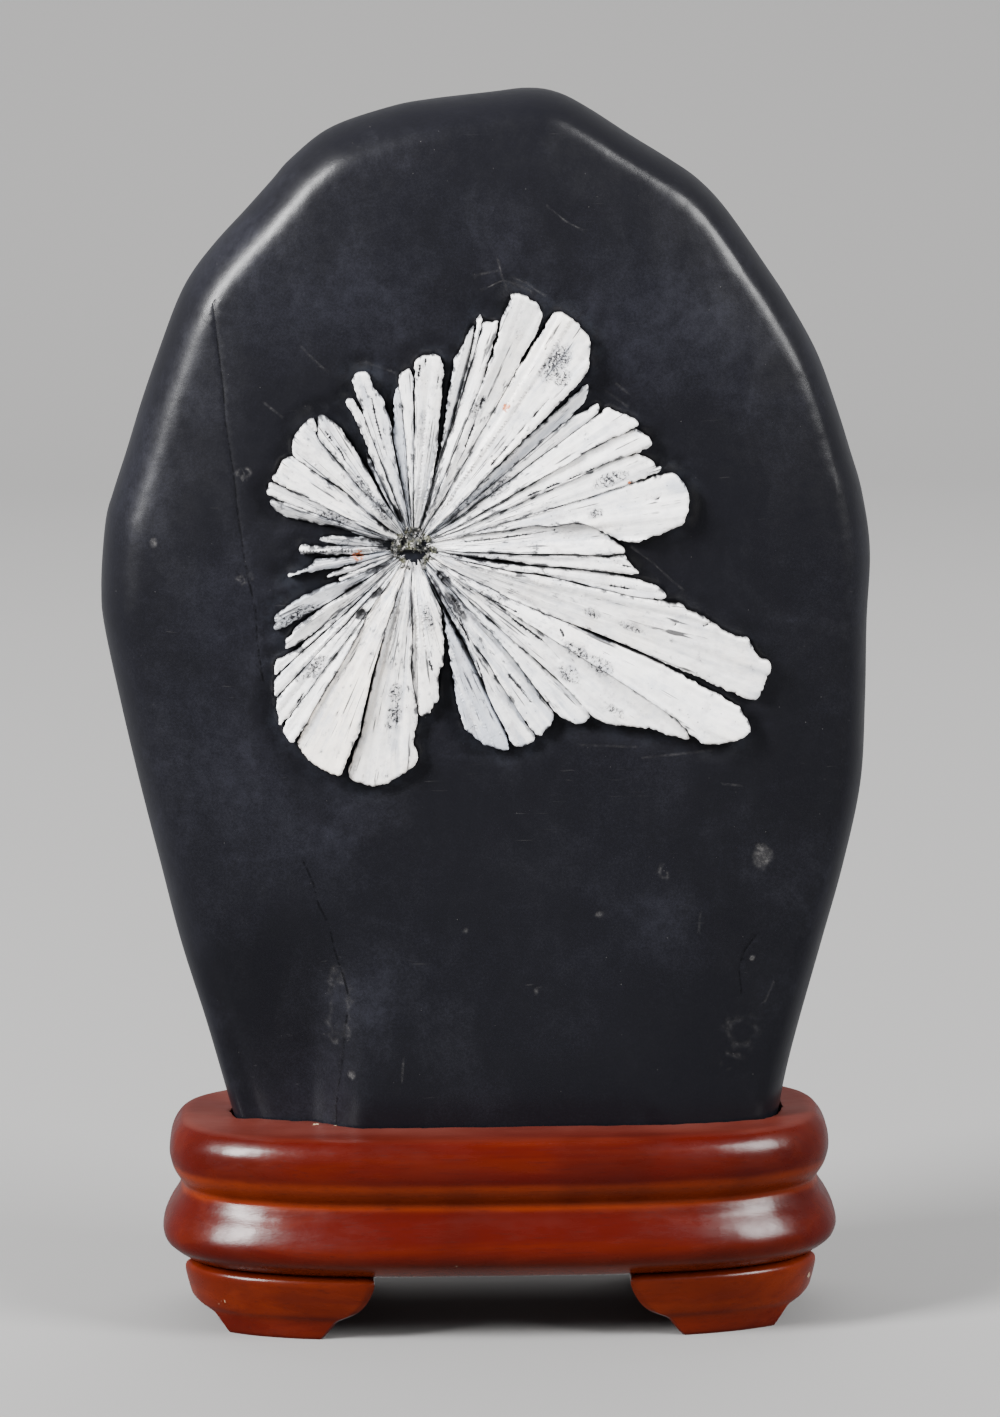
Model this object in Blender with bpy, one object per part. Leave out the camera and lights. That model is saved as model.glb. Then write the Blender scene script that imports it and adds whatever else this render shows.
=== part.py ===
# Chrysanthemum stone on a carved wooden stand: a flat black stone with a spray of white
# crystals in its front face, standing in a recess in an oval stand with four bracket feet.
# Blender works in metres; the sizes below are millimetres, and MM turns them into metres.
# X runs across the face, Y away from the viewer, Z up. The sizes in X are measured from the
# middle of the stand; ORIGIN_SHIFT then puts the origin on the table, under the middle of
# the whole object, since the stone leans out further on one side.

import math

import bmesh
import bpy
from mathutils import Vector, noise

MM = 0.001
ORIGIN_SHIFT = 1.9

# Driving sizes of the stand
STAND_HALF_WIDTH = 76.0
STAND_HALF_DEPTH = 37.0
PLAN_POWER = 3.0            # 2 is an ellipse; a higher power has fuller corners
FOOT_HEIGHT = 16.0
CREASE_Z = 33.0
STAND_TOP_Z = 48.8
FOOT_BACK_Y = 11.5          # the flat backs of the feet, from the stand's middle
FOOT_GAP = 0.3
STAND_SEGMENTS = 56

# How far the mouldings stand out from the plan outline: height, then overhang
MOULDING = (
    (FOOT_HEIGHT, -1.2), (16.5, 0.8), (18.6, 3.6), (21.6, 4.8), (24.8, 4.2), (28.8, 2.0),
    (32.0, -0.3), (CREASE_Z, -1.0), (34.2, 0.0), (36.9, 2.2), (40.4, 3.0), (44.4, 2.5),
    (47.2, 1.0), (48.4, -0.5), (STAND_TOP_Z, -2.0),
)

# A bracket foot: height, half of its length across the stand, and how far its face is set in
FOOT_PROFILE = (
    (0.0, 11.3, 2.4), (2.4, 13.0, 2.4), (4.2, 14.5, 2.2), (5.4, 16.8, 1.9), (6.8, 19.2, 1.5),
    (8.6, 20.9, 1.1), (10.8, 22.2, 0.7), (13.2, 23.1, 0.4), (14.6, 23.4, 0.4),
    (FOOT_HEIGHT - FOOT_GAP, 22.8, 1.2),
)
FOOT_MIDDLE_X = 53.8        # where each foot's middle lies, measured across the stand
FOOT_STEPS = 8

# Driving sizes of the stone
STONE_BASE_Z = 43.3         # the flat cut that stands on the floor of the recess
STONE_MIDDLE = (-2.0, 165.0)
SHOULDER_HALF_DEPTH = 14.0
MIDDLE_HALF_DEPTH = 22.0
SHOULDER_RADIUS = 11.0      # how far in from the outline the rounded edge reaches
DOME_REACH = 45.0           # the faces rise towards the middle as far in as this
STONE_POINTS = 84
RECESS_FLOOR_Z = 43.0
RECESS_GAP = 0.8            # between the stone and the sides of the recess
FIT_GAP = 0.4               # round the crystals

# The stone's outline seen from the front, in X and Z, up the left side and down the right
STONE_OUTLINE = (
    (-58.0, 24.0), (-63.6, 43.0), (-66.2, 52.7), (-70.9, 71.1), (-76.1, 90.7), (-80.4, 110.2),
    (-84.9, 129.6), (-89.1, 149.0), (-92.8, 168.3), (-93.2, 178.0), (-91.9, 192.3),
    (-89.9, 199.4), (-86.7, 208.9), (-82.9, 220.8), (-78.7, 232.6), (-74.1, 244.5),
    (-70.2, 251.5), (-64.5, 258.6), (-57.9, 265.6), (-51.5, 272.6), (-47.0, 277.6),
    (-37.6, 284.8), (-23.4, 289.6), (-14.0, 291.3), (0.1, 292.8), (9.5, 293.7), (16.5, 292.4),
    (23.6, 288.6), (33.0, 282.4), (42.4, 276.5), (49.2, 271.6), (55.8, 264.4), (65.6, 250.1),
    (70.2, 242.9), (76.7, 231.0), (81.1, 219.0), (84.8, 207.0), (87.5, 197.4), (89.4, 183.5),
    (88.6, 166.2), (88.2, 147.0), (87.1, 127.6), (83.0, 108.2), (77.6, 88.8), (72.1, 69.3),
    (69.0, 57.0), (66.2, 43.0), (61.5, 24.0),
)

# The spray of crystals
SPRAY_MIDDLE = (-19.1, 187.4)
SPRAY_BACK_Y = -15.5        # the flat back of the crystals, inside the stone
HUB_RADIUS = 5.0
HUB_SINK = 1.2              # the crystals dip below the stone's face at the hub
EDGE_RISE = 0.8             # how proud of the stone the crystals' edges stand
CLEFT_WIDTH = 1.6           # the stone fills only clefts between crystals wider than this

# Each crystal, clockwise from the top: how far its flat top rises above its edges, the
# corners of its tip, and the notch where it parts from the next one. X and Z are measured
# from the middle of the spray.
CRYSTALS = (
    # north
    (0.9, ((-4.2, 36.5), (-3.0, 39.4), (-2.8, 41.2), (-0.4, 43.0)), (0.2, 41.5)),
    (1.1, ((0.7, 44.5), (2.6, 45.6), (6.3, 45.5), (7.2, 42.5), (6.6, 33.0)), (4.6, 16.5)),
    # north-north-east
    (0.7, ((8.6, 38.0), (11.0, 46.0), (13.6, 51.4)), (14.6, 50.0)),
    (1.0, ((15.7, 54.8), (16.7, 54.9)), (16.4, 51.0)),
    (1.2, ((17.0, 53.3), (20.2, 53.2)), (17.1, 40.5)),
    (1.3, ((21.8, 54.6), (23.3, 59.8), (25.9, 60.4), (30.6, 55.6), (28.6, 50.5)), (25.6, 44.0)),
    (1.5, ((32.2, 54.2), (33.8, 55.9), (36.5, 55.0), (40.0, 51.4), (41.5, 48.0), (41.0, 42.5),
           (38.4, 38.0)), (30.6, 29.6)),
    # north-east
    (0.7, ((38.4, 36.6), (41.0, 38.5), (38.6, 33.8)), (33.8, 29.6)),
    (0.8, ((40.6, 32.4), (43.8, 34.3)), (43.6, 31.4)),
    (1.1, ((46.0, 32.8), (51.0, 30.5), (52.5, 28.6)), (46.0, 25.6)),
    (1.2, ((51.4, 27.0), (53.2, 27.1), (55.6, 24.2)), (50.4, 21.6)),
    (1.1, ((53.0, 21.4), (55.8, 20.4), (57.4, 18.2)), (49.4, 14.1)),
    # east
    (1.4, ((55.6, 15.2), (60.4, 17.1), (62.8, 16.2), (64.4, 11.0), (63.4, 6.0), (59.0, 3.9),
           (55.6, 3.0), (52.4, 0.6)), (47.0, 1.8)),
    (0.8, ((49.2, -0.7),), (46.6, -1.5)),
    (1.0, ((49.3, -2.0), (53.3, -6.0)), (50.4, -6.5)),
    (0.9, ((52.8, -8.3), (57.2, -9.2), (58.9, -12.2)), (56.2, -13.0)),
    # east-south-east
    (1.4, ((61.4, -13.6), (63.8, -13.9), (69.0, -17.0), (74.6, -21.2), (78.2, -22.2),
           (83.3, -28.4), (82.0, -34.0), (80.2, -36.4), (77.0, -36.6)), (69.0, -33.4)),
    (1.3, ((74.8, -37.6), (76.3, -39.4), (78.8, -41.8), (77.8, -44.9), (73.8, -46.4),
           (66.0, -46.4)), (62.4, -42.4)),
    (1.0, ((63.6, -45.4), (57.6, -44.0), (42.2, -40.8)), (39.6, -38.6)),
    (0.9, ((40.4, -40.8), (37.8, -41.6), (34.6, -40.9)), (31.8, -37.6)),
    # south-south-east
    (1.2, ((32.5, -40.2), (32.0, -42.0), (28.6, -44.7)), (26.8, -43.0)),
    (1.0, ((27.4, -45.3), (23.0, -46.8)), (21.6, -44.8)),
    (0.8, ((21.4, -48.2), (16.4, -46.4), (12.7, -43.6), (10.4, -39.0), (9.3, -30.0)),
     (6.6, -15.0)),
    # south
    (1.0, ((6.6, -22.0), (6.4, -27.0), (5.6, -31.5), (5.6, -35.4), (3.7, -37.8)), (0.8, -36.0)),
    (1.2, ((0.7, -40.0), (-0.1, -44.0), (0.9, -48.0), (-1.4, -51.3), (-5.3, -54.0), (-9.6, -55.7),
           (-15.0, -54.7), (-16.6, -53.4)), (-13.2, -43.4)),
    (1.5, ((-17.4, -52.7), (-21.2, -52.5), (-24.0, -50.8), (-26.4, -48.4), (-27.4, -45.6)),
     (-25.0, -40.0)),
    # south-west
    (1.0, ((-28.2, -44.0), (-29.3, -45.2), (-31.6, -42.8)), (-30.6, -40.2)),
    (1.1, ((-32.2, -41.2), (-32.9, -35.4)), (-31.6, -33.4)),
    (1.1, ((-33.2, -33.4), (-33.4, -30.2)), (-31.8, -28.0)),
    (0.9, ((-33.2, -28.2), (-32.8, -25.8), (-30.6, -24.3)), (-25.6, -19.9)),
    (0.8, ((-30.2, -22.2), (-29.0, -19.4)), (-23.2, -13.8)),
    (0.7, ((-31.2, -17.4), (-32.8, -17.0), (-30.7, -13.0), (-25.8, -10.2), (-20.6, -8.0)),
     (-16.4, -6.9)),
    (0.6, ((-18.1, -6.5),), (-14.2, -4.4)),
    # west
    (0.7, ((-21.4, -4.7), (-29.5, -6.4), (-24.4, -2.2), (-20.9, -1.7)), (-13.6, -1.2)),
    (0.7, ((-22.0, -0.6), (-25.6, -0.7), (-26.4, 0.6), (-23.6, 1.3)), (-17.0, 1.5)),
    (0.6, ((-21.8, 2.8), (-17.6, 3.6)), (-14.2, 3.9)),
    # west-north-west
    (0.9, ((-22.4, 6.2), (-30.0, 8.4), (-32.2, 9.8), (-33.3, 12.0)), (-30.6, 12.4)),
    (1.0, ((-33.6, 13.4), (-33.6, 15.6)), (-30.8, 15.6)),
    (1.3, ((-32.8, 16.9), (-31.6, 19.6), (-30.4, 21.5), (-28.4, 22.0)), (-26.0, 21.4)),
    # north-west
    (1.3, ((-28.3, 23.6), (-28.0, 26.2), (-26.4, 29.0), (-23.4, 30.6)), (-22.0, 27.6)),
    (1.1, ((-21.6, 31.5), (-20.4, 31.8), (-18.2, 30.2), (-16.3, 28.0)), (-9.6, 17.6)),
    (0.6, ((-10.9, 22.6),), (-8.6, 18.4)),
    (0.5, ((-16.0, 34.6), (-15.0, 34.0)), (-13.0, 29.4)),
    (0.8, ((-14.0, 35.5),), (-12.0, 33.0)),
    # north-north-west
    (1.0, ((-13.3, 37.5), (-14.0, 40.0), (-12.4, 42.1)), (-10.8, 39.8)),
    (0.9, ((-10.4, 41.5), (-8.6, 37.4), (-6.2, 33.0)), (-4.3, 28.0)),
)


def clear_scene():
    for old in list(bpy.data.objects):
        bpy.data.objects.remove(old, do_unlink=True)


def make_collection(name):
    made = bpy.data.collections.new(name)
    bpy.context.scene.collection.children.link(made)
    return made


def make_material(name, colour, roughness, metallic=0.0):
    made = bpy.data.materials.new(name)
    made.use_nodes = True
    shader = made.node_tree.nodes["Principled BSDF"]
    shader.inputs["Base Color"].default_value = (*colour, 1.0)
    shader.inputs["Roughness"].default_value = roughness
    shader.inputs["Metallic"].default_value = metallic
    return made


def object_from(mesh_builder, name, collection, material=None, smooth_angle=35.0):
    """Turns a bmesh, held in millimetres, into an object in metres."""
    bmesh.ops.recalc_face_normals(mesh_builder, faces=mesh_builder.faces[:])
    bmesh.ops.translate(mesh_builder, vec=(ORIGIN_SHIFT, 0, 0), verts=mesh_builder.verts[:])
    bmesh.ops.scale(mesh_builder, vec=(MM, MM, MM), verts=mesh_builder.verts[:])
    mesh = bpy.data.meshes.new(name)
    mesh_builder.to_mesh(mesh)
    mesh_builder.free()
    mesh.shade_smooth()
    mesh.set_sharp_from_angle(angle=math.radians(smooth_angle))
    if material:
        mesh.materials.append(material)
    made = bpy.data.objects.new(name, mesh)
    collection.objects.link(made)
    return made


def cut(target, cutter):
    """Takes the cutter's shape out of the target."""
    cutter.hide_render = True
    cutter.display_type = "WIRE"
    boolean = target.modifiers.new("cut by " + cutter.name, "BOOLEAN")
    boolean.operation = "DIFFERENCE"
    boolean.object = cutter


def bridge(mesh_builder, lower, upper):
    """Joins two closed rings that have the same number of vertices."""
    count = len(lower)
    for i in range(count):
        j = (i + 1) % count
        mesh_builder.faces.new((lower[i], lower[j], upper[j], upper[i]))


# The stand

def plan_point(angle, overhang):
    """A point on the stand's outline seen from above, pushed outwards by overhang."""
    power = 2.0 / PLAN_POWER
    c, s = math.cos(angle), math.sin(angle)
    x = math.copysign(abs(c) ** power, c) * (STAND_HALF_WIDTH + overhang)
    y = math.copysign(abs(s) ** power, s) * (STAND_HALF_DEPTH + overhang)
    return x, y


def even_angles(count, overhang=0.0, fine=2000):
    """Angles whose points lie evenly along the stand's outline."""
    points = [Vector(plan_point(2 * math.pi * i / fine, overhang)) for i in range(fine + 1)]
    lengths = [0.0]
    for before, after in zip(points, points[1:]):
        lengths.append(lengths[-1] + (after - before).length)
    angles, at = [], 0
    for i in range(count):
        wanted = lengths[-1] * i / count
        while lengths[at + 1] < wanted:
            at += 1
        share = (wanted - lengths[at]) / (lengths[at + 1] - lengths[at])
        angles.append(2 * math.pi * (at + share) / fine)
    return angles


def build_stand_body(collection, material):
    mesh_builder = bmesh.new()
    angles = even_angles(STAND_SEGMENTS)
    rings = []
    for height, overhang in MOULDING:
        rings.append([mesh_builder.verts.new((*plan_point(a, overhang), height)) for a in angles])
    for lower, upper in zip(rings, rings[1:]):
        bridge(mesh_builder, lower, upper)
    mesh_builder.faces.new(rings[0])
    mesh_builder.faces.new(rings[-1])
    return object_from(mesh_builder, "stand_body", collection, material)


def plan_depth(x, overhang):
    """How far the stand's outline lies from its long axis at x."""
    share = min(1.0, abs(x) / (STAND_HALF_WIDTH + overhang))
    return (STAND_HALF_DEPTH + overhang) * (1.0 - share ** PLAN_POWER) ** (1.0 / PLAN_POWER)


def widest_x(depth, overhang):
    """How far out along the long axis the outline is still this deep."""
    share = depth / (STAND_HALF_DEPTH + overhang)
    return (STAND_HALF_WIDTH + overhang) * (1.0 - share ** PLAN_POWER) ** (1.0 / PLAN_POWER)


def build_foot(name, mirror_x, mirror_y, collection, material):
    """One bracket foot: both its ends are cut to an ogee, and its face follows the outline."""
    mesh_builder = bmesh.new()
    rings = []
    for height, half_length, inset in FOOT_PROFILE:
        start = FOOT_MIDDLE_X - half_length
        end = min(FOOT_MIDDLE_X + half_length, widest_x(FOOT_BACK_Y + 1.0, -inset))
        outer, inner = [], []
        for i in range(FOOT_STEPS):
            x = start + (end - start) * math.sin(0.5 * math.pi * i / (FOOT_STEPS - 1))
            outer.append((x, -plan_depth(x, -inset), height))
            inner.append((x, -FOOT_BACK_Y, height))
        points = outer + inner[::-1]
        rings.append([
            mesh_builder.verts.new((x * mirror_x, y * mirror_y, z)) for x, y, z in points
        ])
    for lower, upper in zip(rings, rings[1:]):
        bridge(mesh_builder, lower, upper)
    mesh_builder.faces.new(rings[0])
    mesh_builder.faces.new(rings[-1])
    return object_from(mesh_builder, name, collection, material)


# The stone

def smooth_outline(points, count):
    """Even points along a closed Catmull-Rom curve through the given ones."""
    total = len(points)
    fine = []
    for i in range(total):
        before, start, end, after = (Vector(points[(i + k) % total]) for k in (-1, 0, 1, 2))
        for step in range(24):
            t = step / 24
            fine.append(0.5 * (
                2 * start + (end - before) * t
                + (2 * before - 5 * start + 4 * end - after) * t ** 2
                + (3 * start - before - 3 * end + after) * t ** 3
            ))
    fine.append(fine[0])
    lengths = [0.0]
    for before, after in zip(fine, fine[1:]):
        lengths.append(lengths[-1] + (after - before).length)
    even, at = [], 0
    for i in range(count):
        wanted = lengths[-1] * i / count
        while lengths[at + 1] < wanted:
            at += 1
        share = (wanted - lengths[at]) / (lengths[at + 1] - lengths[at])
        even.append(fine[at].lerp(fine[at + 1], share))
    return even


def grown(outline, amount):
    """The outline pushed outwards by amount; it runs clockwise seen from the front."""
    count = len(outline)
    result = []
    for i, point in enumerate(outline):
        along = (outline[(i + 1) % count] - outline[i - 1]).normalized()
        result.append(point + Vector((-along.y, along.x)) * amount)
    return result


def inset_of(point, outline):
    """How far in from the outline a point lies."""
    best = 1e9
    for start, end in zip(outline, outline[1:] + outline[:1]):
        edge = end - start
        t = max(0.0, min(1.0, (point - start).dot(edge) / edge.length_squared))
        best = min(best, (point - start - edge * t).length)
    return best


def half_depth(inset):
    """Half of the stone's thickness at a distance in from its outline."""
    round_part = 1.0 - min(inset, SHOULDER_RADIUS) / SHOULDER_RADIUS
    shoulder = SHOULDER_HALF_DEPTH * math.sqrt(max(0.0, 1.0 - round_part ** 2))
    rise = 1.0 - min(inset, DOME_REACH) / DOME_REACH
    return shoulder + (MIDDLE_HALF_DEPTH - SHOULDER_HALF_DEPTH) * (1.0 - rise ** 2)


def unevenness(x, z, side):
    """Slight waves of the ground surface, stronger at the back."""
    strength = 0.25 if side < 0 else 0.8
    return strength * noise.noise(Vector((x / 38.0, z / 38.0, 3.0 * side)))


def build_slab(name, collection, material, base_z, grow=0.0):
    """The stone without its crystals: rings that shrink towards the middle of both faces."""
    mesh_builder = bmesh.new()
    outline = smooth_outline(STONE_OUTLINE, STONE_POINTS)
    rim = grown(outline, grow)
    middle = Vector(STONE_MIDDLE)
    shares = (0.992, 0.972, 0.945, 0.905, 0.84, 0.72, 0.5, 0.24)

    def ring(share, side):
        made = []
        for i in range(STONE_POINTS):
            true = middle + (outline[i] - middle) * share
            spot = true + rim[i] - outline[i]
            depth = half_depth(inset_of(true, outline)) + grow + unevenness(*true, side)
            made.append(mesh_builder.verts.new((spot.x, side * depth, spot.y)))
        return made

    front = [ring(share, -1) for share in shares]
    back = [ring(share, 1) for share in shares]
    edge = [mesh_builder.verts.new((p.x, 0.0, p.y)) for p in rim]
    loops = front[::-1] + [edge] + back
    for one, other in zip(loops, loops[1:]):
        bridge(mesh_builder, one, other)
    for last, side in ((front[-1], -1), (back[-1], 1)):
        depth = MIDDLE_HALF_DEPTH + grow + unevenness(*middle, side)
        tip = mesh_builder.verts.new((middle.x, side * depth, middle.y))
        for i in range(STONE_POINTS):
            mesh_builder.faces.new((last[i], last[(i + 1) % STONE_POINTS], tip))
    # The stone and its recess split their quads alike, so that the gap stays even
    bmesh.ops.triangulate(mesh_builder, faces=mesh_builder.faces[:], quad_method="FIXED")
    geometry = mesh_builder.verts[:] + mesh_builder.edges[:] + mesh_builder.faces[:]
    sliced = bmesh.ops.bisect_plane(
        mesh_builder, geom=geometry, plane_co=(0, 0, base_z),
        plane_no=(0, 0, 1), clear_inner=True,
    )
    edges = [g for g in sliced["geom_cut"] if isinstance(g, bmesh.types.BMEdge)]
    bmesh.ops.contextual_create(mesh_builder, geom=edges)
    return object_from(mesh_builder, name, collection, material, 50.0)


# The crystals

def spray_rings():
    """For each crystal: its tip's corners and, shared with the next one, its side's points."""
    middle = Vector(SPRAY_MIDDLE)
    crystals = []
    for rise, tips, notch in CRYSTALS:
        notch = Vector(notch)
        hub = notch.normalized() * HUB_RADIUS
        side = [hub]
        if notch.length > 30.0:
            side.append(hub.lerp(notch, 0.5))
        side.append(notch)
        crystals.append((rise, [middle + Vector(t) for t in tips], [middle + s for s in side]))
    return crystals


def build_spray(collection, material):
    """The crystals as one solid: a sheet cut to their outline, thickened, each top raised."""
    mesh_builder = bmesh.new()
    outline = smooth_outline(STONE_OUTLINE, STONE_POINTS)

    def on_face(spot, rise):
        depth = half_depth(inset_of(spot, outline)) + unevenness(*spot, -1) + rise
        return mesh_builder.verts.new((spot.x, -depth, spot.y))

    crystals = spray_rings()
    sides = [
        [on_face(side[0], -HUB_SINK)] + [on_face(s, EDGE_RISE) for s in side[1:]]
        for _, _, side in crystals
    ]
    tops = []
    for i, (rise, tips, _) in enumerate(crystals):
        corners = [on_face(t, EDGE_RISE) for t in tips]
        loop = sides[i - 1] + corners + sides[i][::-1]
        tops.append((mesh_builder.faces.new(loop), rise))
    mesh_builder.faces.new([side[0] for side in sides])
    for face in mesh_builder.faces:
        if face.normal.y > 0:
            face.normal_flip()
    bmesh.ops.recalc_face_normals(mesh_builder, faces=mesh_builder.faces[:])
    thickened = bmesh.ops.extrude_face_region(
        mesh_builder, geom=mesh_builder.faces[:], use_keep_orig=True
    )
    for item in thickened["geom"]:
        if isinstance(item, bmesh.types.BMVert):
            item.co.y = SPRAY_BACK_Y
    for face, rise in tops:
        hub_edge = (face.verts[0].co - face.verts[-1].co).length
        bmesh.ops.inset_individual(
            mesh_builder, faces=[face], thickness=min(0.5, 0.32 * hub_edge), use_even_offset=True
        )
        for vert in face.verts:
            vert.co.y -= rise
    bmesh.ops.triangulate(mesh_builder, faces=mesh_builder.faces[:])
    return object_from(mesh_builder, "crystal_spray", collection, material, 20.0)


def pocket_outline():
    """The crystals' outline with the narrow clefts between neighbours left out."""
    crystals = spray_rings()
    loop = []
    for i, (_, tips, side) in enumerate(crystals):
        following = crystals[(i + 1) % len(crystals)][1][0]
        notch = side[-1]
        short = min((tips[-1] - notch).length, (following - notch).length)
        spread = (tips[-1] - notch).angle(following - notch)
        loop += tips
        if short * math.sin(spread) > CLEFT_WIDTH:
            loop.append(notch)
    return loop


def build_spray_pocket(collection):
    """The pocket that the crystals fill, with the fitting gap all round."""
    loop = pocket_outline()
    count = len(loop)
    rim = []
    for i, point in enumerate(loop):
        into = (point - loop[i - 1]).normalized()
        out = (loop[(i + 1) % count] - point).normalized()
        before = Vector((-into.y, into.x))
        after = Vector((-out.y, out.x))
        square = (before + after).length_squared
        outward = into.x * out.y - into.y * out.x < 0
        if outward and square < 1.2:
            rim.append(point + (before + into) * FIT_GAP)
            rim.append(point + (after - out) * FIT_GAP)
        else:
            rim.append(point + (before + after) * (2 * FIT_GAP / square))
    mesh_builder = bmesh.new()
    back = SPRAY_BACK_Y + FIT_GAP
    front = -MIDDLE_HALF_DEPTH - 6.0
    lower = [mesh_builder.verts.new((p.x, back, p.y)) for p in rim]
    upper = [mesh_builder.verts.new((p.x, front, p.y)) for p in rim]
    bridge(mesh_builder, lower, upper)
    mesh_builder.faces.new(lower)
    mesh_builder.faces.new(upper)
    return object_from(mesh_builder, "spray_pocket_cutter", collection)


def main():
    clear_scene()
    parts = make_collection("chrysanthemum_stone")
    cutters = make_collection("cutters")
    stone_black = make_material("black stone", (0.018, 0.018, 0.022), 0.42)
    crystal_white = make_material("white crystal", (0.78, 0.76, 0.73), 0.35)
    stained_wood = make_material("red-brown lacquered wood", (0.20, 0.028, 0.010), 0.28)

    stand = build_stand_body(parts, stained_wood)
    for name, mirror_x, mirror_y in (
        ("foot_front_right", 1, 1), ("foot_front_left", -1, 1),
        ("foot_back_right", 1, -1), ("foot_back_left", -1, -1),
    ):
        build_foot(name, mirror_x, mirror_y, parts, stained_wood)

    stone = build_slab("stone", parts, stone_black, STONE_BASE_Z)
    build_spray(parts, crystal_white)
    cut(stone, build_spray_pocket(cutters))
    cut(stand, build_slab("recess_cutter", cutters, None, RECESS_FLOOR_Z, RECESS_GAP))


main()
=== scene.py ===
import math

import bmesh
import bpy
import numpy as np
from mathutils import Matrix, Vector, geometry


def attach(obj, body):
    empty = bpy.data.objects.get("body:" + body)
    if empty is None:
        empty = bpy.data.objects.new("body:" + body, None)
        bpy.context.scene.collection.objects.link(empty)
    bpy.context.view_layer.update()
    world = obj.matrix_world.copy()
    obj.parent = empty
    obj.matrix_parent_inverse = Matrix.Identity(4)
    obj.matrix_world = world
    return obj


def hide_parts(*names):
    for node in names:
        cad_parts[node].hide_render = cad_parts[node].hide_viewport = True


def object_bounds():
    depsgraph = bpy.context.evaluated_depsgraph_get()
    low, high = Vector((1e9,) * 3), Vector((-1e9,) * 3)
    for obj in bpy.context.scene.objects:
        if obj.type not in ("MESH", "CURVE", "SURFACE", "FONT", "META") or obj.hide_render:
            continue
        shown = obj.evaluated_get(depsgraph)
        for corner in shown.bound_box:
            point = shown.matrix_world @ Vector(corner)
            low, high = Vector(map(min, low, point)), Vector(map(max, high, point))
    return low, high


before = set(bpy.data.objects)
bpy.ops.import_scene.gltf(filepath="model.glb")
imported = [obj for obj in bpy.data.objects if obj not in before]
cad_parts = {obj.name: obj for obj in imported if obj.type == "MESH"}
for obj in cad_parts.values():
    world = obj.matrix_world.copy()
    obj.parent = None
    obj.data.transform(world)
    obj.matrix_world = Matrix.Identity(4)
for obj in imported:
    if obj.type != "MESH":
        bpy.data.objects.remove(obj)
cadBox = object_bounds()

# Sizes are in millimetres, x and z measured from the middle of the stand on the table.
mm = 0.001
standMiddle = 1.9  # the stand's middle lies this far to the right of the frame's origin


# Small tools that every piece uses

def waves(x, y, z=0.0, seed=0):
    # smooth random hills between -1 and 1, one lattice step apart
    x, y, z = np.broadcast_arrays(*(np.asarray(v, dtype=float) for v in (x, y, z)))
    cells = [np.floor(v).astype(np.int64) for v in (x, y, z)]
    parts = [v - c for v, c in zip((x, y, z), cells)]
    parts = [p * p * (3 - 2 * p) for p in parts]
    total = np.zeros(x.shape)
    np.seterr(over="ignore")
    for corner in range(8):
        steps = [(corner >> k) & 1 for k in range(3)]
        mixed = np.full(x.shape, seed * 1013904223 + 12345, dtype=np.int64)
        for cell, step, prime in zip(cells, steps, (374761393, 668265263, 987643219)):
            mixed = (mixed ^ ((cell + step) * prime)) * 1274126177
            mixed = mixed ^ (mixed >> 15)
        value = (mixed & 0xFFFF) / 32767.5 - 1.0
        for part, step in zip(parts, steps):
            value = value * (part if step else 1 - part)
        total += value
    return total


def hills(points, size, seed):
    return waves(points[:, 0] / size, points[:, 1] / size, seed=seed)


def ripple(x, y, z=0.0, seed=0, layers=3):
    total, size, weight = 0.0, 1.0, 1.0
    for layer in range(layers):
        total = total + weight * waves(x * size, y * size, z * size, seed + layer * 17)
        size, weight = size * 2.1, weight * 0.5
    return total


def ease(value, low, high):
    t = np.clip((np.asarray(value, dtype=float) - low) / (high - low), 0, 1)
    return t * t * (3 - 2 * t)


def roundCurve(points, count, closed=True):
    # even points along a smooth curve through the given ones
    points = np.array(points, dtype=float)
    if closed:
        ends = np.vstack([points[-1:], points, points[:2]])
    else:
        ends = np.vstack([2 * points[:1] - points[1:2], points, 2 * points[-1:] - points[-2:-1]])
    fine = []
    for a, b, c, d in zip(ends, ends[1:], ends[2:], ends[3:]):
        t = np.linspace(0, 1, 30, endpoint=False)[:, None]
        fine.append(0.5 * (2 * b + (c - a) * t + (2 * a - 5 * b + 4 * c - d) * t ** 2
                           + (3 * b - a - 3 * c + d) * t ** 3))
    fine = np.vstack(fine + [ends[-2:-1]])
    return evenly(fine, count, closed)


def evenly(line, count, closed=False):
    # the same line with evenly spaced points; a closed one doesn't repeat its first
    length = np.concatenate([[0], np.cumsum(np.hypot(*np.diff(line, axis=0).T))])
    wanted = np.linspace(0, length[-1], count, endpoint=not closed)
    return np.stack([np.interp(wanted, length, line[:, k]) for k in range(line.shape[1])], axis=1)


def lineLength(line):
    return np.sum(np.hypot(*np.diff(line, axis=0).T))


def spaced(line, spacing, least):
    # a smooth open curve with a point at every step of the spacing
    return roundCurve(line, max(least, int(lineLength(line) / spacing)), closed=False)


def rightNormals(line, closed=False):
    # unit vectors to the right of the line's direction
    if closed:
        tangent = np.roll(line, -1, axis=0) - np.roll(line, 1, axis=0)
    else:
        tangent = np.gradient(line, axis=0)
    tangent = tangent / np.maximum(np.hypot(*tangent.T), 1e-9)[:, None]
    return np.stack([tangent[:, 1], -tangent[:, 0]], axis=1)


def bridge(below, above, count):
    # quads between two rings of points, given by their first numbers
    return [(below + i, below + (i + 1) % count, above + (i + 1) % count, above + i)
            for i in range(count)]


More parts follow.
